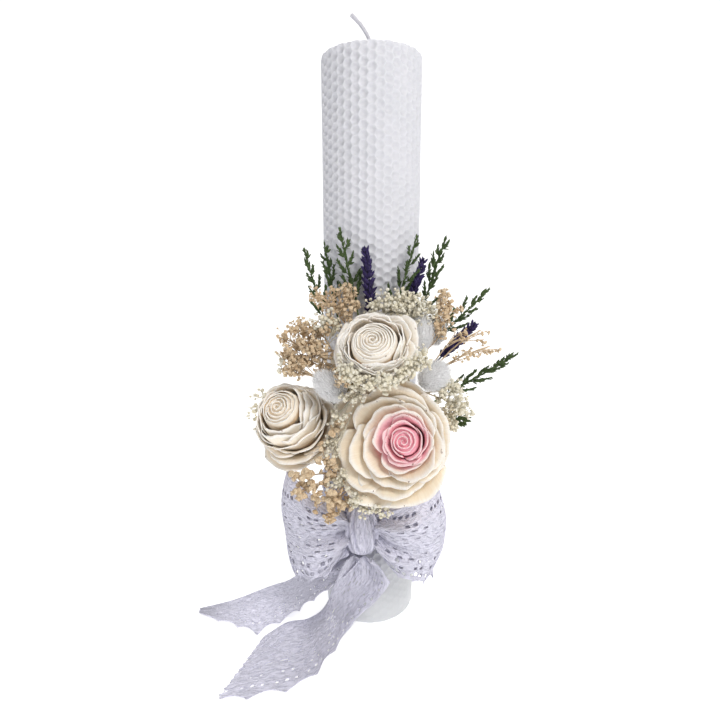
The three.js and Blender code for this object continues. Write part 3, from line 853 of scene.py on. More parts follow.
def petal(rose, whorl, number, draw):
    """One petal, swept round the flower's axis.

    Across is u from -1 to 1 and up is v from 0 at the calyx to 1 at the rim. Up the petal, its distance from the axis
    and its height follow a cubic curve that starts flat at the calyx, bellies out and ends leaning by the whorl's
    angle. The curve ends early near the petal's sides, which rounds its outline, and earlier still where slow and
    quick sine waves notch it. The sideways angle is u times a half width that opens quickly from the calyx. One side
    lies inside its neighbour and the other outside. Waves with random phases ruffle the upper part, and the last of
    the rim rolls outwards.
    """
    count, reach, top, lean, belly, _, ruffle, _ = whorl
    u, v = np.meshgrid(np.linspace(-1, 1, PETAL_ACROSS), np.linspace(0, 1, PETAL_UP), indexing="ij")
    phase = draw.uniform(0, 2 * np.pi, 9)
    reach = reach * (1 + draw.normal(0, 0.022))
    top = top + draw.normal(0, 0.6)
    lean = math.radians(lean + draw.normal(0, 6))
    notch = 0.17 * np.abs(u) ** 2.4 + 0.022 * ruffle * np.sin(3.3 * u + phase[0])
    notch = notch + 0.016 * ruffle * np.sin(7.0 * u + phase[1]) + 0.007 * ruffle * np.sin(19.0 * u + phase[8])
    run = v * (1 - notch)
    pull = CURVE_PULL * top
    radius = cubic((1.5, belly, reach - pull * math.sin(lean), reach), run)
    height = cubic((0.4, 0.6, top - pull * math.cos(lean), top), run)
    roll = smooth(0.80, 1.0, v) ** 2 * (0.6 + 0.4 * np.sin(2.1 * u + phase[6]))
    radius = radius + RIM_ROLL_OUT * roll * (0.4 + 0.6 * math.cos(lean))
    height = height - RIM_ROLL_DOWN * roll * (0.3 + abs(math.sin(lean)))
    radius = radius * (1 + 0.048 * u * smooth(0.1, 0.6, v) - 0.02 * u * u)
    buckle = 0.75 * ruffle * v**2 * np.sin(4.1 * u + phase[2]) + 0.35 * ruffle * v**3 * np.sin(10.0 * u + phase[3])
    radius = radius + buckle * math.cos(lean)
    height = height + buckle * math.sin(abs(lean)) + 0.25 * ruffle * v**3 * np.sin(6.2 * u + phase[5])
    half = (np.pi / count) * PETAL_OVERLAP * (0.35 + 0.65 * smooth(0, 0.45, v)) * (1 - 0.12 * v**6)
    spin = rose["spin"] + number * 2 * np.pi / count + whorl[1] * 0.83 + draw.normal(0, 0.10)
    around = spin + u * half
    points = around_axis(radius, around, height)
    pink = smooth(rose["heart"] + 2.5, rose["heart"] - 1.0, radius) if rose["heart"] else np.zeros_like(radius)
    return points, v, u, pink * smooth(0.1, 0.3, v)


def bud_spiral(rose, draw):
    """The rolled heart: a strip wound inwards, its radius shrinking with the turn, its rim leaning in.

    The middle stands higher than the outside, like a dome. Along the strip one petal follows another: each winds
    outwards a little from its neighbour's edge, where the rim has a notch, and sine waves leave the rim uneven.
    """
    reach, turns, top = rose["spiral"]
    steps, up = int(70 * turns), 12
    t, v = np.meshgrid(np.linspace(0, 1, steps), np.linspace(0, 1, up), indexing="ij")
    angle = t * turns * 2 * np.pi + rose["spin"]
    radius = 0.6 + (reach - 0.6) * t**0.9
    petals = 0.87 * angle / np.pi
    radius = radius * (1 - 0.10 * smooth(0.55, 1.0, v)) * (1 + 0.025 * np.sin(2.7 * angle + 1.0))
    radius = radius + 0.5 * (petals % 1.0 - 0.5) * smooth(0.15, 0.6, t)
    wave = 0.45 * np.sin(2.3 * angle + draw.uniform(0, 6)) + 0.25 * np.sin(9.1 * angle + draw.uniform(0, 6))
    notch = 1.3 * (1 - np.abs(np.sin(np.pi * petals)) ** 0.45) * smooth(0.1, 0.4, t)
    height = top - DOME * reach**2 * t**2 - 6.0 * (1 - v) + (wave - notch) * v**3
    return around_axis(radius, angle, height), v, 2 * t - 1


def bud_core(rose):
    """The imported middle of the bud: a shallow dome a little below the rim of the rolled strip."""
    reach, _, top = rose["spiral"]
    angle, share = np.meshgrid(closed_angles(40), np.linspace(0.02, 0.93, 10), indexing="ij")
    radius = reach * share
    return around_axis(radius, angle, top - 2.3 - DOME * radius**2 - 5.0 * smooth(0.86, 0.93, share))


def build_rose(name):
    """All the pieces of one rose: its petals by whorl, and its bud."""
    options = settings("candle_flowers")
    rose = ROSES[name]
    draw = np.random.default_rng(rose["seed"])
    turn = turned([rose["facing"]])[0]
    base, shift = np.array(rose["base"]), np.array(rose["shift"])
    shapes = {}

    def add(part, points, faces, tip, side, pink, tone, follow=1.0):
        moved = (points @ turn.T + base + shift * follow) * MM
        values = {"tip": tip, "side": side, "heart": pink, "tone": tone, "pale": rose["pale"]}
        shapes.setdefault(part, Shape()).add(moved, faces, **values)

    faces = grid_faces(PETAL_ACROSS, PETAL_UP)
    for whorl in rose["whorls"]:
        for number in range(whorl[0]):
            points, tip, side, pink = petal(rose, whorl, number, draw)
            follow = whorl[5] * smooth(0.0, 0.5, tip)[..., None]
            add(whorl[7], points, faces, tip, side, pink, draw.uniform(0, 1), follow)
    pink = 1.0 if rose["heart"] else 0.0
    points, tip, side = bud_spiral(rose, draw)
    add("bud", points, grid_faces(*points.shape[:2]), tip, side, pink, 0.5)
    core = bud_core(rose)
    add("bud", core, grid_faces(*core.shape[:2], wrap_rows=True)[:, ::-1], 0.7, 0.0, pink, 0.5)
    material = shared(petal_material, "petals", options.ivory, options.pink)
    for part, shape in shapes.items():
        piece = shape.build(f"{name}_{part}_dried", material)
        walled(piece, options.petal_thickness)
        pink_part = name == "rose_large" and part in ("inner_petals", "bud")
        place(piece, "pink_petal" if pink_part else "ivory_petal", f"{name}_{part}")


def inside_rose(points):
    """True for points, in millimetres, that lie inside a rose's body: a bowl, and half a ball on it."""
    inside = np.zeros(len(points), bool)
    for rose in ROSES.values():
        local = (points - np.array(rose["base"])) @ turned([rose["facing"]])[0]
        reach, middle = rose["solid"]
        height = local[:, 2] - middle
        ball = (local[:, 0] ** 2 + local[:, 1] ** 2) / reach**2 + (height / np.where(height > 0, 12.0, middle)) ** 2
        inside |= ball < 1
    return inside


# ---------------------------------------------------------------------------------------------------------------
# Bunny tails

# Each tail, in millimetres: its middle, its direction, half its length, half its width, and its seed.
BUNNY_TAILS = {
    "bunny_tail_left": ((-21, -61, 167.5), (-0.75, 0.1, 0.65), 11.0, 7.0, 5),
    "bunny_tail_right": ((34, -55, 172), (0.75, -0.1, 0.65), 10.0, 7.5, 6),
    "bunny_tail_upper": ((27, -44, 193), (0.3, 0.1, 0.95), 12.0, 7.5, 7),
    "bunny_tail_back": ((38, -30, 193), (0.2, 0.3, 0.9), 9.0, 5.0, 8),
}
HAIRS = 5200
HAIR_LENGTHS = (2.4, 4.4)
HAIR_HALF_WIDTH = 0.075
CORE_SHARE = 0.80


def build_bunny_tail(name):
    """A soft seed head: a lumpy oval core, and fine hairs that lean from it towards its tip."""
    middle, direction, half_length, half_width, seed = BUNNY_TAILS[name]
    draw = np.random.default_rng(seed)
    turn = turned([direction])[0]
    shape = Shape()
    rows, around = 22, 28
    polar, angle = ball_grid(rows, around, 0.02)
    lump = CORE_SHARE * (1 + 0.05 * np.sin(5 * polar + 3 * angle) * np.sin(4 * angle))
    core = around_axis(lump * half_width * np.sin(polar), angle, -lump * half_length * np.cos(polar))
    shape.add((core.reshape(-1, 3) @ turn.T + middle) * MM, grid_faces(rows, around, wrap_columns=True)[:, ::-1],
              tip=0.7, tone=0.0)
    ring = np.arange(around)
    for first, row, flip in ((0, 0, False), ((rows - 1) * around, -1, True)):
        pole = (core[row].mean(axis=0) @ turn.T + middle) * MM
        shape.close(first + ring, pole, flip, tip=0.7, tone=0.0)
    height = draw.uniform(-1, 1, HAIRS)
    spin = draw.uniform(0, 2 * np.pi, HAIRS)
    out = around_axis(np.sqrt(1 - height**2), spin, height)
    root = out * [half_width, half_width, half_length] * 0.78
    lean = unit(out * [1, 1, 0.8] + np.array([0, 0, 0.9]) + draw.normal(0, 0.26, (HAIRS, 3)))
    length = draw.uniform(*HAIR_LENGTHS, HAIRS)[:, None]
    middle_point = root + lean * length * 0.55
    end_point = root + lean * length + np.array([0, 0, 1.0]) * 0.5
    width = HAIR_HALF_WIDTH * unit(np.cross(lean, draw.normal(0, 1, (HAIRS, 3))))
    points = np.stack([root - width, root + width, middle_point + width * 0.8, middle_point - width * 0.8, end_point],
                      axis=1)
    order = (np.arange(HAIRS) * 5)[:, None]
    points = (points.reshape(-1, 3) @ turn.T + middle) * MM
    start = shape.count
    shape.add(points, tip=np.tile([0.0, 0.0, 0.6, 0.6, 1.0], HAIRS), tone=0.0)
    shape.faces[4].append(order + np.array([[0, 1, 2, 3]]) + start)
    shape.faces[3].append(order + np.array([[3, 2, 4]]) + start)
    material = shared(hair_material, "bunny_hair", settings("candle_flowers").fluff)
    return place(shape.build(f"{name}_fluff", material), "bunny_tail_white", name)


# ---------------------------------------------------------------------------------------------------------------
# Dried sprigs


# Radius of a stem at its foot and at its tip, in millimetres.
MAIN_STEM, SIDE_STEM, TWIG = (0.5, 0.3), (0.27, 0.19), (0.17, 0.14)
GREEN_STEM, GREEN_SIDE_STEM, VIOLET_STEM = (0.55, 0.25), (0.32, 0.2), (0.55, 0.3)
PILLAR_CLEARANCE = 1.6


def ringed(rings, sides, twist, foot, head, flip=False):
    """A small closed shape: rings of (radius, height), each turned on from the last, between a foot and a head."""
    angle = closed_angles(sides)
    points = [around_axis(r, angle + twist * i, 0 * angle + h) for i, (r, h) in enumerate(rings)]
    points = np.concatenate(points + [np.array([foot, head])])
    quads = grid_faces(len(rings), sides, wrap_columns=True)
    quads = quads[:, ::-1] if flip else quads
    last = (len(rings) - 1) * sides + np.arange(sides)
    fans = [fan_faces(np.arange(sides), len(points) - 2), fan_faces(last, len(points) - 1)]
    triangles = np.concatenate([quads[:, [0, 1, 2]], quads[:, [0, 2, 3]]] + fans)
    return points, outward_faces(points, triangles)


def blossom_template(closed):
    """A small dried blossom: a narrow calyx, a full waist, and a ragged mouth that folds in to a low centre.

    A closed one is a round ball instead.
    """
    if closed:
        return ringed([(0.62, -0.66), (0.98, -0.16), (0.92, 0.44), (0.48, 0.84)], 6, 0.25, (0, 0, -0.9),
                      (0, 0, 0.98), flip=True)
    ragged = 1 + 0.16 * (-1.0) ** np.arange(6)
    return ringed([(0.18, -0.55), (0.80, -0.05), (ragged, 0.42), (0.42, 0.40)], 6, 0.25, (0, 0, -0.7), (0, 0, 0.2),
                  flip=True)


def bud_template():
    """A closed lavender calyx: a ribbed spindle with a pointed tip."""
    return ringed([(0.30, 0.1), (0.52, 0.55), (0.46, 1.25), (0.26, 1.7)], 5, 0.6, (0, 0, 0), (0.1, 0, 2.05))


def leaf_template():
    """A small pointed bract: three rings of four points between two tips, flat and a little bowed."""
    points = [(0, 0, 0)]
    for along_leaf, wide in ((0.30, 0.38), (0.85, 0.5), (1.6, 0.30)):
        bow = 0.18 * along_leaf**1.5
        points += [(wide, bow, along_leaf), (0, bow + 0.24 * wide + 0.1, along_leaf), (-wide, bow, along_leaf),
                   (0, bow - 0.5 * wide, along_leaf)]
    points.append((0, 0.55, 2.1))
    points = np.array(points, float)
    triangles = [fan_faces(np.arange(1, 5), 0)]
    for k in range(2):
        ring = 1 + 4 * k + np.arange(4)
        nxt = np.roll(ring, -1)
        triangles += [np.stack([ring, nxt, nxt + 4], axis=1), np.stack([ring, nxt + 4, ring + 4], axis=1)]
    triangles.append(fan_faces(np.arange(9, 13), 13)[:, ::-1])
    triangles = np.concatenate(triangles)
    return points, outward_faces(points, triangles)


def outward_faces(points, triangles):
    """Turns a small closed template's triangles to face out from its middle."""
    middle = points.mean(axis=0)
    a, b, c = (points[triangles[:, i]] for i in range(3))
    facing = np.einsum("ij,ij->i", np.cross(b - a, c - a), (a + b + c) / 3 - middle)
    return np.where(facing[:, None] < 0, triangles[:, ::-1], triangles)


def scatter_directions(axis, count, spread, draw):
    """Random unit vectors about an axis: the axis plus a sideways pull of up to the spread."""
    sideways = draw.normal(0, 1, (count, 3))
    sideways -= (sideways @ axis)[:, None] * axis
    sideways = unit(sideways) * np.sqrt(draw.uniform(0.02, 1, count))[:, None] * spread
    return unit(axis + sideways)


def clear_of_neighbours(points):
    """True for points, in millimetres, outside the pillar and outside every rose."""
    pillar = np.hypot(points[:, 0], points[:, 1]) > PILLAR_RADIUS / MM + PILLAR_CLEARANCE
    return pillar & ~inside_rose(points)


def gypsophila(name, root, heads, size, seed, material, slot, closed=False):
    """A sprig: one stem from the root to each head, side stems that fill the head, and a blossom on every twig.

    A head is its middle, its radius and how many blossoms it has. Closed blossoms are small balls.
    """
    draw = np.random.default_rng(seed)
    root, heads = np.array(root, float), np.array(heads, float)
    tips, radii, counts = heads[:, :3], heads[:, 3], heads[:, 4].astype(int)
    shape = Shape()
    main = tips - root
    length = np.linalg.norm(main, axis=1, keepdims=True)
    axis = main / length
    sag = root + main * 0.5 + draw.normal(0, 0.07, main.shape) * length
    roots = np.broadcast_to(root, tips.shape) + draw.normal(0, 0.8, tips.shape)
    tubes(shape, roots, sag, tips, *MAIN_STEM, 4, 6, tone=0.6, tip=0.9)
    owner = np.repeat(np.arange(len(heads)), np.maximum(counts // 6, 4))
    t = draw.uniform(0.45, 0.95, len(owner))[:, None]
    side_root = pulled(roots[owner], sag[owner], tips[owner], t)
    ball = unit(draw.normal(0, 1, (len(owner), 3))) * (draw.uniform(0.1, 1, len(owner)) ** 0.4)[:, None]
    side_tip = tips[owner] + ball * radii[owner, None]
    bow = (side_root + side_tip) / 2 + axis[owner] * radii[owner, None] * 0.15
    side_root, side_tip, bow, owner = kept(clear_of_neighbours(side_tip), side_root, side_tip, bow, owner)
    tubes(shape, side_root, bow, side_tip, *SIDE_STEM, 4, 4, tone=0.6, tip=0.9)
    chosen = draw.integers(0, len(side_root), int(counts.sum()))
    share = draw.uniform(0.55, 1.0, len(chosen))[:, None]
    start = side_root[chosen] + (side_tip - side_root)[chosen] * share
    out = unit(side_tip - tips[owner] + axis[owner] * radii[owner, None] * 0.5)[chosen]
    way = unit(out + draw.normal(0, 0.7, out.shape))
    end = start + way * draw.uniform(1.2, 4.2, len(chosen))[:, None]
    start, way, end = kept(clear_of_neighbours(end), start, way, end)
    count = len(end)
    tubes(shape, start, (start + end) / 2, end, *TWIG, 4, 2, tone=0.6, tip=0.9)
    template, faces = blossom_template(closed)
    sizes = size * draw.uniform(0.6, 1.2, count)[:, None] * draw.uniform(0.85, 1.15, (count, 3))
    heights = np.clip(template[:, 2] + (0.9 if closed else 0.6), 0, 1)
    shape.add_copies(template, faces, end, turned(way, draw.uniform(0, 6.28, count)), sizes, heights,
                     tone=draw.uniform(0, 1, count))
    return place(shape.build(f"{name}_sprig", material), slot, name)


def limonium(name, root, tip, seed, material, side_stems, leaf, fan):
    """A green sprig: a bowed stem, side stems along most of it that fan out by turns, and small bracts up them all."""
    draw = np.random.default_rng(seed)
    root, tip = np.array(root, float), np.array(tip, float)
    shape = Shape()
    main = tip - root
    length = np.linalg.norm(main)
    axis = main / length
    pull = root + main * 0.5 + scatter_directions(axis, 1, 0.6, draw)[0] * 0.04 * length
    tubes(shape, root, pull, tip, *GREEN_STEM, 5, 9, tone=0.3, tip=0.8)
    at = np.linspace(0.20, 0.88, side_stems)[:, None]
    foot = pulled(root, pull, tip, at)
    flat = unit(np.cross(axis, [0.0, -1.0, 0.0])) * np.where(np.arange(side_stems) % 2, 1, -1)[:, None]
    way = unit(axis + flat * fan * draw.uniform(0.6, 1.1, side_stems)[:, None] + draw.normal(0, 0.12, (side_stems, 3)))
    reach = length * 0.30 * (1.15 - at) * draw.uniform(0.7, 1.15, side_stems)[:, None]
    head = foot + way * reach
    bend = (foot + head) / 2 - axis * 0.06 * length * 0.5 + way * 0.1
    tubes(shape, foot, bend, head, *GREEN_SIDE_STEM, 4, 4, tone=0.3, tip=0.8)
    stems = [(root, pull, tip, 0.25, int(length * 1.5))]
    stems += [(foot[i], bend[i], head[i], 0.25, int(reach[i, 0] * 2.2) + 3) for i in range(side_stems)]
    template, faces = leaf_template()
    places, ways, sizes = [], [], []
    for a, b, c, first, count in stems:
        t = np.linspace(first, 1.0, count)[:, None]
        run = unit(2 * (1 - t) * (b - a) + 2 * t * (c - b))
        spin = np.arange(count) * 2.4 + draw.uniform(0, 6)
        frame_turns = turned(run, spin)
        ways.append(unit(run + 0.55 * frame_turns[:, :, 0] * (1.1 - 0.6 * t)))
        places.append(pulled(a, b, c, t))
        sizes.append(leaf * draw.uniform(0.7, 1.25, count) * (1.0 - 0.25 * t[:, 0]))
    places, ways, sizes = np.concatenate(places), np.concatenate(ways), np.concatenate(sizes)
    places, ways, sizes = kept(clear_of_neighbours(places), places, ways, sizes)
    count = len(places)
    shape.add_copies(template, faces, places, turned(ways, draw.uniform(0, 6.28, count)), sizes,
                     0.35 + template[:, 2] / 3, tone=draw.uniform(0, 1, count))
    return place(shape.build(f"{name}_sprig", material), "limonium_green", name)


WHORL_STEP = 3.0
WHORL_BUDS = 9


def lavender(name, root, tip, seed, material):
    """A spike: rings of pointed calyces one above the other on the upper part of a straight stem."""
    draw = np.random.default_rng(seed)
    root, tip = np.array(root, float), np.array(tip, float)
    shape = Shape()
    axis = unit(tip - root)
    length = np.linalg.norm(tip - root)
    tubes(shape, root, (root + tip) / 2, tip, *VIOLET_STEM, 5, 5, tone=0.9, tip=0.3)
    level = np.arange(0.22 * length, 0.97 * length, WHORL_STEP)
    at = np.repeat(level, WHORL_BUDS) + draw.normal(0, 0.5, len(level) * WHORL_BUDS)
    spin = np.tile(closed_angles(WHORL_BUDS), len(level)) + np.repeat(np.arange(len(level)) * 0.5, WHORL_BUDS)
    frame_turn = turned([axis])[0]
    out = np.cos(spin)[:, None] * frame_turn[:, 0] + np.sin(spin)[:, None] * frame_turn[:, 1]
    fullness = 0.75 + 0.35 * np.sin(np.pi * np.clip(at / length, 0, 1))
    places = root + axis * at[:, None] + out * 0.7 * fullness[:, None]
    ways = unit(axis + out * 0.62 + draw.normal(0, 0.16, places.shape))
    template, faces = bud_template()
    sizes = np.stack([1.7 * fullness, 1.7 * fullness, 2.2 * fullness], axis=1) * draw.uniform(0.85, 1.15, (len(at), 1))
    places, ways, sizes = kept(clear_of_neighbours(places), places, ways, sizes)
    shape.add_copies(template, faces, places, turned(ways, draw.uniform(0, 6.28, len(ways))), sizes,
                     0.3 + template[:, 2] / 3, tone=draw.uniform(0, 1, len(ways)))
    return place(shape.build(f"{name}_spike", material), "lavender_violet", name)


# Gypsophila, in millimetres: the root of each sprig and its heads, each a middle, a radius and a count of blossoms.
TAN_SPRIGS = [
    ((-24, -38, 172), [(-45, -48, 192, 6.5, 75), (-45, -48, 183, 6.5, 75), (-39, -48, 199, 6, 65)]),
    ((-20, -41, 183), [(-35, -50, 190, 6.5, 75), (-29, -48, 197, 6.5, 75), (-36, -50, 182, 6, 60)]),
    ((-23, -46, 168), [
        (-27, -52, 187, 6.5, 70), (-26, -53, 178, 6, 60), (-38, -50, 175, 5.5, 45), (-46, -49, 176, 4.5, 30),
        (-14, -70, 176, 5, 30), (-20, -62, 173, 5, 25)
    ]),
    ((-11, -37, 192), [
        (-26, -42, 214, 6, 60), (-18, -42, 217, 6, 70), (-14, -42, 209, 6, 60), (-23, -43, 206, 6, 60),
        (-9, -42, 216, 4.5, 35)
    ]),
    ((33, -38, 184), [(39, -42, 213, 6, 60), (44, -42, 206, 6, 60), (40, -42, 197, 6, 50)]),
    ((34, -38, 171), [(62, -41, 196, 6, 18), (68, -40, 187, 5, 14), (47, -42, 192, 6, 30), (54, -42, 184, 5, 14)]),
    ((-17, -46, 112), [
        (-38, -64, 118, 5.5, 22), (-33, -64, 111, 6, 28), (-27, -64, 120, 6, 28), (-26, -63, 132, 5.5, 22),
        (-18, -59, 143, 5, 22), (-38, -66, 109, 3, 6)
    ]),
    ((-11, -48, 105), [
        (-21, -64, 112, 6, 26), (-27, -64, 104, 6, 24), (-18, -64, 103, 4.5, 14), (-22, -62, 95, 2, 3),
        (-14, -64, 99, 3, 6), (-19, -63, 124, 6, 26)
    ]),
]
# The last tan sprigs, below the roses, have bigger blossoms.
TAN_SIZE, LOW_TAN_SIZE, FIRST_LOW_TAN = 1.15, 1.8, 6
CREAM_SIZE = 1.0
CREAM_SPRIGS = [
    ((7, -38, 193), [(4, -44, 210, 7, 100), (12, -44, 213, 7, 100), (15, -43, 206, 6, 70)]),
    ((21, -33, 190), [(19, -42, 214, 7, 90), (26, -42, 211, 7, 90), (31, -43, 206, 6, 60), (23, -44, 204, 6, 60)]),
    ((-6, -50, 162), [
        (-13, -74, 181, 5.5, 60), (-7, -77, 178, 5.5, 80), (0, -78, 176, 5.5, 80), (6, -78, 175, 5, 70),
        (-17, -60, 152, 5, 40), (-19, -60, 134, 6, 60), (-10, -66, 164, 5, 45)
    ]),
    ((14, -47, 165), [(12, -77, 177, 5.5, 80), (19, -74, 181, 5.5, 80), (26, -71, 185, 5, 60)]),
    ((31, -34, 157), [
        (42, -54, 163, 7, 90), (48, -54, 158, 7, 90), (50, -53, 150, 6, 60), (44, -54, 168, 6, 50),
        (46, -53, 144, 5, 30)
    ]),
    ((1, -47, 106), [
        (-17, -65, 112, 5, 40), (-10, -66, 107, 5.5, 55), (-3, -67, 103, 5.5, 60), (4, -67, 101, 5.5, 55),
        (11, -66, 102, 5, 40), (-16, -62, 120, 5, 40)
    ]),
    ((-31, -24, 142), [(-72, -27, 147, 6, 22), (-66, -30, 154, 5, 18), (-69, -28, 138, 5, 14)]),
    ((-31, -27, 163), [(-50, -44, 177, 6, 40), (-25, -48, 204, 5.5, 50), (-20, -48, 199, 5, 45)]),
]
# Limonium: root, tip, how many side stems, the size of a bract, and how far the side stems fan out.
GREEN_SPRIGS = [
    ((-24, -33, 192), (-39, -20, 240), 8, 1.55, 0.55),
    ((-18, -32, 196), (-27, -23, 244), 8, 1.5, 0.5),
    ((-5, -35, 195), (-17, -34, 251), 9, 1.55, 0.65),
    ((12, -34, 195), (26, -27, 247), 8, 1.5, 0.6),
    ((26, -29, 190), (44, -17, 247), 10, 1.6, 0.6),
    ((33, -25, 182), (70, -18, 217), 9, 1.5, 0.5),
    ((34, -28, 148), (86, -29, 180), 9, 1.6, 0.5),
    ((35, -24, 134), (56, -38, 144), 10, 2.4, 0.9),
]
# Lavender: root and tip.
VIOLET_SPIKES = [((1, -37, 197), (-3, -36, 241)), ((17, -31, 196), (31, -26, 236)), ((37, -31, 174), (61, -31, 199))]


# ---------------------------------------------------------------------------------------------------------------
# Lace ribbon

SCALLOP = 15.0
SCALLOP_DEPTH = 4.0
EDGE_THREAD = 0.4
# Holes of one scallop's fan: place along, place across, half length, half width.
FAN_HOLES = ((0.0, 9.0, 1.75, 2.1), (4.9, 9.6, 1.6, 2.0), (-4.9, 9.6, 1.6, 2.0), (2.5, 15.4, 1.45, 1.8),
             (-2.5, 15.4, 1.45, 1.8), (0.0, 20.6, 1.3, 1.0))
HOLE_PITCH = 4.7
SLIT_ROW = 3.0
SLIT_PITCH = 8.0
CLOSE_WORK_LOW, CLOSE_WORK_HIGH = 22.0, 16.0


def rounded(x, y, half_x, half_y):
    """Below 0 inside a rounded rectangle about the origin, above 0 outside it."""
    return np.abs(x / half_x) ** 2.8 + np.abs(y / half_y) ** 2.8 - 1.0


def scattered(x, scale):
    """A value from 0 to 1 that looks random, but is always the same for the same x."""
    return (np.sin(x) * scale) % 1.0


def lace_holes(s, t, half, open_work=1.0):
    """Pattern of the lace, s along and t across: below 0 in a hole or past an edge, above 0 on thread.

    The edge at -half is scalloped: hollows between points, and inside each point a fan of three big holes with
    smaller ones behind. The edge at +half is straight with a row of holes in groups. The close work between them has
    a slit here and there, in staggered rows. The open work scales the holes of both edges.
    """
    wave = np.abs(np.sin(np.pi * s / SCALLOP))
    low = t + half
    field = low - EDGE_THREAD - SCALLOP_DEPTH * wave**0.8
    beat = (s + SCALLOP / 2) % SCALLOP - SCALLOP / 2
    fan = low + 0.055 * beat**2
    for middle, rise, half_x, half_y in FAN_HOLES:
        across = beat - middle - 0.10 * middle * (low - rise)
        field = np.minimum(field, rounded(across, fan - rise, half_x * open_work, half_y * open_work))
    high = half - t
    field = np.minimum(field, high - EDGE_THREAD)
    group = s % (6 * HOLE_PITCH)
    beat = s % HOLE_PITCH - HOLE_PITCH / 2
    first = rounded(beat + 0.55 * (high - 8.0), high - 8.0, 1.4 * open_work, 0.95 * open_work)
    second = rounded(beat - 0.55 * (high - 13.0), high - 13.0, 1.3 * open_work, 0.8 * open_work)
    field = np.where(group > 2 * HOLE_PITCH, np.minimum(field, first), field)
    field = np.where(group > 4 * HOLE_PITCH, np.minimum(field, second), field)
    row = np.floor(t / SLIT_ROW)
    jump = scattered(row * 12.9898, 43758.5453)
    slot = (s + jump * SLIT_PITCH) / SLIT_PITCH
    chance = scattered(np.floor(slot) * 78.233 + row * 37.719, 24634.6345)
    slit = rounded((slot % 1.0 - 0.5) * SLIT_PITCH, t - (row + 0.5) * SLIT_ROW, 1.3 + chance, 0.42)
    close_work = (low > CLOSE_WORK_LOW) & (high > CLOSE_WORK_HIGH) & (chance > 0.35)
    return np.where(close_work, np.minimum(field, slit), field)


def cut_lace(length, width, step, cut_end=None, open_work=1.0):
    """The flat ribbon as a grid with its holes cut: points near a hole's edge slide on to it, faces in it go."""
    rows, columns = int(length / step) + 2, int(width / step) + 2
    s, t = np.meshgrid(np.linspace(0, length, rows), np.linspace(-width / 2, width / 2, columns), indexing="ij")

    def pattern(x, y):
        field = lace_holes(x, y, width / 2, open_work)
        return field if cut_end is None else np.minimum(field, cut_end(x, y))

    small = 0.02
    for _ in range(2):
        value = pattern(s, t)
        slope_s = (pattern(s + small, t) - pattern(s - small, t)) / (2 * small)
        slope_t = (pattern(s, t + small) - pattern(s, t - small)) / (2 * small)
        steep = np.maximum(slope_s**2 + slope_t**2, 1e-6)
        shift_s, shift_t = value * slope_s / steep, value * slope_t / steep
        close = np.hypot(shift_s, shift_t) < 0.5 * step
        s = np.where(close, np.clip(s - shift_s, 0, length), s)
        t = np.where(close, t - shift_t, t)
    value = pattern(s, t).ravel()
    quads = grid_faces(rows, columns)
    corner = value[quads]
    on_edge = np.abs(corner) < 0.08
    solid = np.all((corner > 0) | on_edge, axis=1) & (np.count_nonzero(on_edge, axis=1) < 4)
    quads = quads[solid]
    used, quads = np.unique(quads, return_inverse=True)
    return s.ravel()[used], t.ravel()[used], quads.reshape(-1, 4)


def build_lace(name, length, surface, nodes, width=60.0, step=0.55, cut_end=None,
               open_work=1.0):
    """The surface takes the shares along and across, and the same places in millimetres.
    """
    options = settings("candle_lace")
    s, t, quads = cut_lace(length, width, step, cut_end, open_work)
    points = surface(s / length, t / width + 0.5, s, t)
    shape = Shape()
    shape.add(points * MM, quads, flat_s=s, flat_t=t)
    material = shared(lace_material, "crochet_lace", options.colour)
    piece = shape.build(name, material, uv=("flat_s", "flat_t"))
    walled(piece, options.thickness)
    place(piece, "cotton_lace", *nodes)
    return piece


def build_band():
    """Ribbon round the pillar: gathered to the band's height, its pleats running round."""
    low, high = BAND_BOX
    radius = high.x / MM - 0.2
    centre, half = (low.z + high.z) / 2 / MM, (high.z - low.z) / 2 / MM
    opening = math.radians(8)

    def surface(u, v, s, t):
        angle = -np.pi / 2 + opening + u * 2 * (np.pi - opening)
        gather = 0.9 + 0.1 * np.sin(3 * angle)
        level = centre + (2 * v - 1) * half * gather + 1.2 * np.sin(2 * angle)
        pleat = 0.55 * np.sin(level * 0.75 + 1.5 * np.sin(angle)) + 0.35 * np.sin(level * 1.7 + 2 * angle)
        return around_axis(radius + 0.5 + pleat, angle, level)

    length = 2 * (np.pi - opening) * radius
    build_lace("lace_band", length, surface, ["ribbon_band"], step=0.7)


# Plans of the two loops seen from above, from the front of the knot out and back to its rear, in millimetres. Each is
# half as high as knot_half at the knot and as far_half at its far end, whose middle is at the height far_centre.
LOOPS = {
    "bow_loop_left": {
        "plan": [(-13.5, -46), (-23, -51), (-36, -51), (-48, -43), (-54, -31), (-49, -20), (-38, -21), (-27, -29),
                 (-13.5, -37)],
        "knot_half": 12.0, "far_half": 34.0, "far_centre": 69.0, "phase": 0.3, "side": -1.0, "lean": 2.0,
    },
    "bow_loop_right": {
        "plan": [(4.5, -46), (15, -52), (27, -52), (39, -44), (46, -31), (43, -20), (33, -22), (20, -31), (4.5, -37)],
        "knot_half": 12.0, "far_half": 32.0, "far_centre": 66.0, "phase": 1.7, "side": 1.0, "lean": 2.0,
    },
}


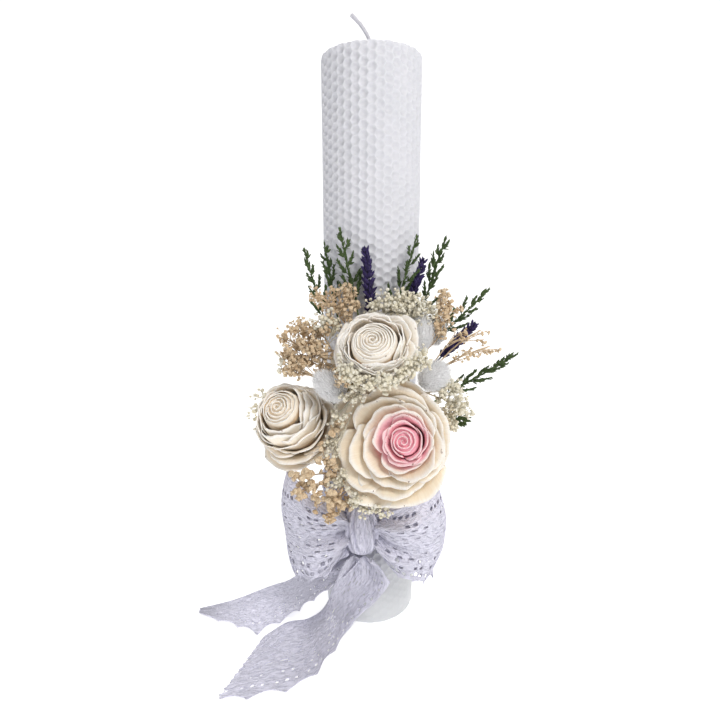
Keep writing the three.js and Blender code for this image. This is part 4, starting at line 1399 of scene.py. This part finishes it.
def build_loop(name):
    """A loop of the bow: the ribbon follows its plan curve, bunched in the knot and full height at its far end.

    Pleats run out from the knot: waves across the width, deep where the ribbon is bunched and dying out towards the
    far end. The far end bulges like a barrel, drawn in at its upper and lower edges, which ripple. The upper edge
    stands higher in front than behind, and the whole ribbon hangs a little lower behind.
    """
    loop = LOOPS[name]
    knot_z = (KNOT_BOX[0].z + KNOT_BOX[1].z) / 2 / MM
    curve = spline([(x, y, 0.0) for x, y in loop["plan"]], 400)
    length = float(np.linalg.norm(np.diff(curve, axis=0), axis=1).sum()) * 1.10

    def surface(u, v, s, t):
        fullness = np.clip(np.sin(np.pi * np.clip(u, 0, 1)), 0, 1) ** 0.62
        across = 2 * v - 1
        half = loop["knot_half"] + (loop["far_half"] - loop["knot_half"]) * fullness
        centre = knot_z + (loop["far_centre"] - knot_z - 7.0 * smooth(0.5, 0.8, u)) * fullness
        point = along(curve, u)
        step = along(curve, u + 0.004) - along(curve, u - 0.004)
        out = unit(np.stack([step[:, 1], -step[:, 0], 0 * step[:, 0]], axis=1)) * -loop["side"]
        bunch = 1 - smooth(0.0, 0.42, np.minimum(u, 1 - u))
        pleat = (2.6 * np.sin(across * 7.5 + loop["phase"]) + 1.3 * np.sin(across * 14 + 2 * loop["phase"])) * bunch
        soft = 1.6 * np.sin(across * 3.1 + 5.0 * u + loop["phase"]) * fullness
        barrel = np.where(across < 0, 15.0, 8.0) * fullness * np.maximum(np.abs(across) - 0.30, 0) ** 1.7
        ripple = 2.2 * np.sin(s * 0.40 + loop["phase"]) * np.maximum(np.abs(across) - 0.6, 0) * fullness
        point = point + out * (pleat + soft + barrel + ripple)[:, None]
        dip = 1.6 * np.sin(s * 0.21 + loop["phase"]) * np.abs(across) * fullness
        crown = 1 + np.maximum(across, 0) * fullness * (0.14 - 0.30 * smooth(0.45, 0.72, u))
        point[:, 2] = centre + across * half * crown + loop["lean"] * fullness * (u - 0.5) + dip
        return point

    build_lace(f"lace_{name}", length, surface, [name])


KNOT_FOLDS = 11


def build_knot():
    """The knot: ribbon drawn down over the crossing in upright folds, fuller in the middle and round below.

    The outline is a rounded box. Folds are a steep wave round it, whose phase drifts up the knot so that they fan.
    """
    low, high = (np.array(corner) / MM for corner in KNOT_BOX)
    centre, half = (low + high) / 2, (high - low) / 2
    options = settings("candle_lace")
    rows, around = 170, 340
    polar, angle = ball_grid(rows, around, 0.03)

    def square(x, power):
        return np.sign(x) * np.abs(x) ** power

    level = -square(np.cos(polar), 0.8)
    wide = np.sin(polar) ** 0.5
    fold = np.sin(KNOT_FOLDS * angle + 2.6 * np.sin(1.6 * level + 0.5) + 1.2 * np.sin(3 * angle))
    pleat = 1 + 0.085 * square(fold, 0.6) * np.sin(polar) + 0.03 * np.sin(23 * angle + 5 * level)
    pinch = 1 - 0.08 * smooth(-0.3, -0.95, level) - 0.10 * smooth(0.2, 1.0, level)
    x = centre[0] + half[0] * wide * square(np.cos(angle), 0.85) * pleat * pinch
    y = centre[1] + half[1] * wide * square(np.sin(angle), 0.85) * pleat * pinch
    z = centre[2] + (half[2] + 1.5) * level + 2.5
    shape = Shape()
    shape.add(np.stack([x, y, z], axis=-1) * MM, grid_faces(rows, around, wrap_columns=True)[:, ::-1],
              flat_s=level * half[2], flat_t=angle * half[0] * 1.6)
    for row in (0, rows - 1):
        pole = [x[row].mean() * MM, y[row].mean() * MM, z[row].mean() * MM]
        shape.close(row * around + np.arange(around), pole, flat_s=level[row].mean() * half[2], flat_t=0.0)
    material = shared(lace_material, "crochet_lace", options.colour)
    piece = outward(shape.build("lace_knot", material, uv=("flat_s", "flat_t")))
    place(piece, "cotton_lace", "bow_knot")


# Long edges of the two free ends, from the knot to the cut end, in millimetres: the scalloped edge and the straight
# one. Width is the flat ribbon's, and hem is how far the scalloped edge rolls forward.
TAILS = {
    "bow_tail_front": {
        "scalloped": [(2, -45, 58), (10, -44.5, 52), (13, -43.5, 42), (7.5, -42.5, 31), (-1, -41.5, 21.5),
                      (-9.5, -40.5, 10), (-15, -43, 2), (-20, -55.5, 1), (-25.5, -65, 1), (-30, -75, 1),
                      (-42.5, -86, 1), (-59, -91, 1), (-84, -96.5, 1)],
        "straight": [(-14, -46, 58), (-18.5, -44, 48), (-22.5, -42, 36), (-26, -39, 24), (-32, -34, 12),
                     (-42, -28, 2), (-54, -30, 1), (-67, -44, 1)],
        "width": 54.0, "phase": 0.0, "hem": 3.0,
    },
    "bow_tail_left": {
        "scalloped": [(-3, -46.5, 57), (-8.5, -47, 49), (-17.5, -45.5, 39.5), (-26, -42.5, 30.5), (-36, -38, 20),
                      (-47, -34, 10), (-57, -34.5, 4), (-66, -40, 2), (-73, -43.5, 1), (-87, -36, 1),
                      (-103.5, -29, 1), (-115, -22, 1)],
        "straight": [(-14, -34, 62), (-30, -22, 44), (-46, -7, 24), (-59, 5, 8), (-72, 7, 2), (-96, -9, 1),
                     (-116, -19, 1)],
        "width": 40.0, "phase": 2.0, "hem": 2.0,
    },
}
TABLE_REST = 0.35


def build_tail(name):
    """A free end of the ribbon: threads drawn between its two long edges, pleated where it leaves the knot.

    Near the knot the scalloped edge rolls forward into a hem. On the table low waves lift it a little.
    """
    tail = TAILS[name]
    scalloped, straight = spline(tail["scalloped"], 300), spline(tail["straight"], 300)
    middle = (scalloped + straight) / 2
    length = float(np.linalg.norm(np.diff(middle, axis=0), axis=1).sum())

    def surface(u, v, s, t):
        a, b = along(scalloped, u), along(straight, u)
        point = a + (b - a) * v[:, None]
        step = along(middle, u + 0.01) - along(middle, u - 0.01)
        out = unit(np.cross(step, b - a))
        out = np.where((out[:, 1:2] > 0) & (u[:, None] < 0.45), -out, out)
        out = np.where((out[:, 2:3] < 0) & (u[:, None] >= 0.45), -out, out)
        bunch = 1 - smooth(0.05, 0.5, u)
        wave = 1.7 * np.sin(v * 15 + tail["phase"]) * bunch + 0.7 * np.sin(v * 8 + 4 * u + tail["phase"]) * (1 - u)
        hem = tail["hem"] * np.exp(-(((v - 0.10) / 0.10) ** 2)) * (1 - smooth(0.35, 0.55, u))
        lift = 0.8 * np.maximum(np.sin(7 * u + 5 * v + tail["phase"]), 0) * smooth(0.5, 0.65, u)
        point = point + out * (wave + hem + lift)[:, None]
        point[:, 2] = np.maximum(point[:, 2], TABLE_REST + 0.15 * np.sin(s * 0.9) ** 2)
        return point

    def cut_end(s, t):
        return length - 0.9 - 0.5 * np.sin(t * 1.3) - 0.4 * np.sin(t * 2.9 + 1) - s

    build_lace(f"lace_{name}", length, surface, [name], tail["width"], 0.5, cut_end, 0.5)


# ---------------------------------------------------------------------------------------------------------------
# Stage

FLOOR_FRONT, FLOOR_BACK, FLOOR_HALF_WIDTH = -2.2, 1.0, 3.0
SWEEP_RADIUS, SWEEP_TOP = 0.8, 2.6
CAMERA_AWAY = 334.2 * MM
CAMERA_HEIGHT = 235.5 * MM
CAMERA_DOWN = math.radians(10.95)
CAMERA_TURN = math.radians(1.15)
LENS = 26.17


def build_stage():
    """Pale floor and backdrop in one sweep, with a quarter circle between them, soft lights and the camera."""
    options = settings("candle_stage")
    scene = bpy.context.scene
    scene.view_settings.view_transform = "Standard"
    bend = np.linspace(0, np.pi / 2, 14)
    y = np.concatenate([[FLOOR_FRONT], FLOOR_BACK + SWEEP_RADIUS * np.sin(bend), [FLOOR_BACK + SWEEP_RADIUS]])
    z = np.concatenate([[0.0], SWEEP_RADIUS * (1 - np.cos(bend)), [SWEEP_TOP]])
    x = np.array([-FLOOR_HALF_WIDTH, FLOOR_HALF_WIDTH])
    points = np.stack([np.repeat(x, len(y)), np.tile(y, 2), np.tile(z, 2)], axis=1)
    material, nodes, shader = start_material("studio_floor", Roughness=0.8, Emission_Color=(1, 1, 1, 1),
                                             Emission_Strength=0.42)
    patches, _ = varied(nodes, place_coordinates(nodes), 1.5, 60.0)
    pale = nodes.tint(rgba(options.floor_colour), (0.9, 0.9, 0.91, 1), patches, 0.1)
    finish_material(nodes, shader, pale)
    shape = Shape()
    shape.add(points, grid_faces(2, len(y)))
    floor = shape.build("studio_floor", material)

    world = bpy.data.worlds.new("studio")
    scene.world = world
    world.use_nodes = True
    background = world.node_tree.nodes["Background"]
    background.inputs["Color"].default_value = (1.0, 1.0, 1.0, 1.0)
    background.inputs["Strength"].default_value = options.room_light

    lights = [
        ("key", (0.60, -0.95, 1.35), 0.6, options.key_power, (1.0, 0.985, 0.96)),
        ("fill", (-0.7, -1.0, 0.5), 0.9, options.key_power * 0.045, (0.94, 0.96, 1.0)),
        ("backdrop", (0.0, 0.5, 1.6), 1.0, options.key_power * 0.64, (1.0, 1.0, 1.0)),
    ]
    aim = np.array([0.0, 0.0, 0.17])
    for name, spot, size, power, colour in lights:
        data = bpy.data.lights.new(name, "AREA")
        data.shape = "DISK"
        data.size = size
        data.energy = power
        data.color = colour
        lamp = bpy.data.objects.new(name, data)
        lamp.location = spot
        away = np.array(spot) - aim
        lamp.rotation_euler = (math.atan2(math.hypot(away[0], away[1]), away[2]), 0.0,
                               math.atan2(away[0], -away[1]))
        scene.collection.objects.link(lamp)

    camera_data = bpy.data.cameras.new("camera")
    camera_data.lens = LENS
    camera_data.sensor_width = 36.0
    camera_data.clip_start = 0.01
    camera = bpy.data.objects.new("camera", camera_data)
    camera.location = (0.0, -CAMERA_AWAY, CAMERA_HEIGHT)
    camera.rotation_euler = (math.pi / 2 - CAMERA_DOWN, 0.0, CAMERA_TURN)
    scene.collection.objects.link(camera)
    scene.camera = camera


def build_supports():
    """Felt, foam and flower stems keep their shapes and get their finishes."""
    felt = plain_fibre_material("felt", (0.72, 0.66, 0.56), (0.60, 0.53, 0.42), 1600.0)
    foam = plain_fibre_material("floral_foam", (0.30, 0.25, 0.15), (0.20, 0.17, 0.09), 900.0)
    stem = plain_fibre_material("wrapped_stem", (0.26, 0.28, 0.14), (0.17, 0.19, 0.08), 1200.0)
    finishes = {"felt_backing": felt, "foam_dome": foam}
    finishes.update({f"{name}_stem": stem for name in ROSES})
    for node, material in finishes.items():
        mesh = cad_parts[node].data
        mesh.materials.clear()
        mesh.materials.append(material)


# ---------------------------------------------------------------------------------------------------------------
# Operators and panel


class CANDLE_OT_stage(Operator):
    """Make the floor, the lights and the camera."""

    bl_idname = "candle.stage"
    bl_label = "Stage"

    def execute(self, context):
        build_stage()
        return {"FINISHED"}


class CANDLE_OT_pillar(Operator):
    """Make the honeycomb sheet, the inner turns and the wick."""

    bl_idname = "candle.pillar"
    bl_label = "Wax pillar"

    def execute(self, context):
        build_outer_sheet()
        build_inner_roll()
        build_wick()
        return {"FINISHED"}


class CANDLE_OT_supports(Operator):
    """Give the felt, the foam and the stems their finishes."""

    bl_idname = "candle.supports"
    bl_label = "Bouquet supports"

    def execute(self, context):
        build_supports()
        return {"FINISHED"}


class CANDLE_OT_roses(Operator):
    """Make the three roses, petal by petal."""

    bl_idname = "candle.roses"
    bl_label = "Roses"

    def execute(self, context):
        for name in ROSES:
            build_rose(name)
        return {"FINISHED"}


class CANDLE_OT_bunny_tails(Operator):
    """Make the fluffy grass heads."""

    bl_idname = "candle.bunny_tails"
    bl_label = "Bunny tails"

    def execute(self, context):
        for name in BUNNY_TAILS:
            build_bunny_tail(name)
        return {"FINISHED"}


class CANDLE_OT_gypsophila(Operator):
    """Make the tan and the cream gypsophila."""

    bl_idname = "candle.gypsophila"
    bl_label = "Gypsophila"

    def execute(self, context):
        options = settings("candle_flowers")
        tan = dried_material("tan_gypsophila", options.tan, (0.82, 0.60, 0.38), 0.9, 0.0, 0.45)
        cream = dried_material("cream_gypsophila", options.cream, (0.90, 0.82, 0.62), 0.9, 0.0, 0.2)
        for number, (root, heads) in enumerate(TAN_SPRIGS):
            size = LOW_TAN_SIZE if number >= FIRST_LOW_TAN else TAN_SIZE
            gypsophila(f"gypsophila_tan_{number + 1}", root, heads, size, 100 + number, tan, "gypsophila_tan")
        for number, (root, heads) in enumerate(CREAM_SPRIGS):
            gypsophila(f"gypsophila_cream_{number + 1}", root, heads, CREAM_SIZE, 200 + number, cream,
                       "gypsophila_cream", closed=True)
        return {"FINISHED"}


class CANDLE_OT_greenery(Operator):
    """Make the limonium and the lavender."""

    bl_idname = "candle.greenery"
    bl_label = "Limonium and lavender"

    def execute(self, context):
        options = settings("candle_flowers")
        green = dried_material("green_limonium", options.green, (0.06, 0.10, 0.035), 0.7)
        violet = dried_material("violet_lavender", options.violet, (0.03, 0.02, 0.09), 0.8, 0.1)
        for number, (root, tip, stems, leaf, fan) in enumerate(GREEN_SPRIGS):
            limonium(f"limonium_{number + 1}", root, tip, 300 + number, green, stems, leaf, fan)
        for number, (root, tip) in enumerate(VIOLET_SPIKES):
            lavender(f"lavender_{number + 1}", root, tip, 400 + number, violet)
        return {"FINISHED"}


class CANDLE_OT_ribbon(Operator):
    """Make the lace band, the bow's loops and knot, and the two free ends."""

    bl_idname = "candle.ribbon"
    bl_label = "Lace ribbon"

    def execute(self, context):
        build_band()
        for name in LOOPS:
            build_loop(name)
        build_knot()
        for name in TAILS:
            build_tail(name)
        return {"FINISHED"}


OPERATORS = (
    CANDLE_OT_stage, CANDLE_OT_pillar, CANDLE_OT_supports, CANDLE_OT_roses, CANDLE_OT_bunny_tails,
    CANDLE_OT_gypsophila, CANDLE_OT_greenery, CANDLE_OT_ribbon,
)
SETTINGS = {
    "candle_pillar": PillarSettings,
    "candle_flowers": FlowerSettings,
    "candle_lace": LaceSettings,
    "candle_stage": StageSettings,
}


class CANDLE_PT_build(Panel):
    """Lists the settings and the pieces."""

    bl_idname = "CANDLE_PT_build"
    bl_label = "Unity Candle"
    bl_space_type = "VIEW_3D"
    bl_region_type = "UI"
    bl_category = "Candle"

    def draw(self, context):
        for name in SETTINGS:
            box = self.layout.box()
            group = getattr(context.scene, name)
            for key in group.__annotations__:
                box.prop(group, key)
        for operator in OPERATORS:
            self.layout.operator(operator.bl_idname)


CLASSES = (*SETTINGS.values(), *OPERATORS, CANDLE_PT_build)


def register():
    for item in CLASSES:
        bpy.utils.register_class(item)
    for name, group in SETTINGS.items():
        setattr(bpy.types.Scene, name, PointerProperty(type=group))


def unregister():
    for name in SETTINGS:
        delattr(bpy.types.Scene, name)
    for item in reversed(CLASSES):
        bpy.utils.unregister_class(item)


def main():
    """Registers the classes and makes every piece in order."""
    register()
    for operator in OPERATORS:
        section, name = operator.bl_idname.split(".")
        getattr(getattr(bpy.ops, section), name)()
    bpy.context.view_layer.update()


if __name__ == "__main__":
    main()
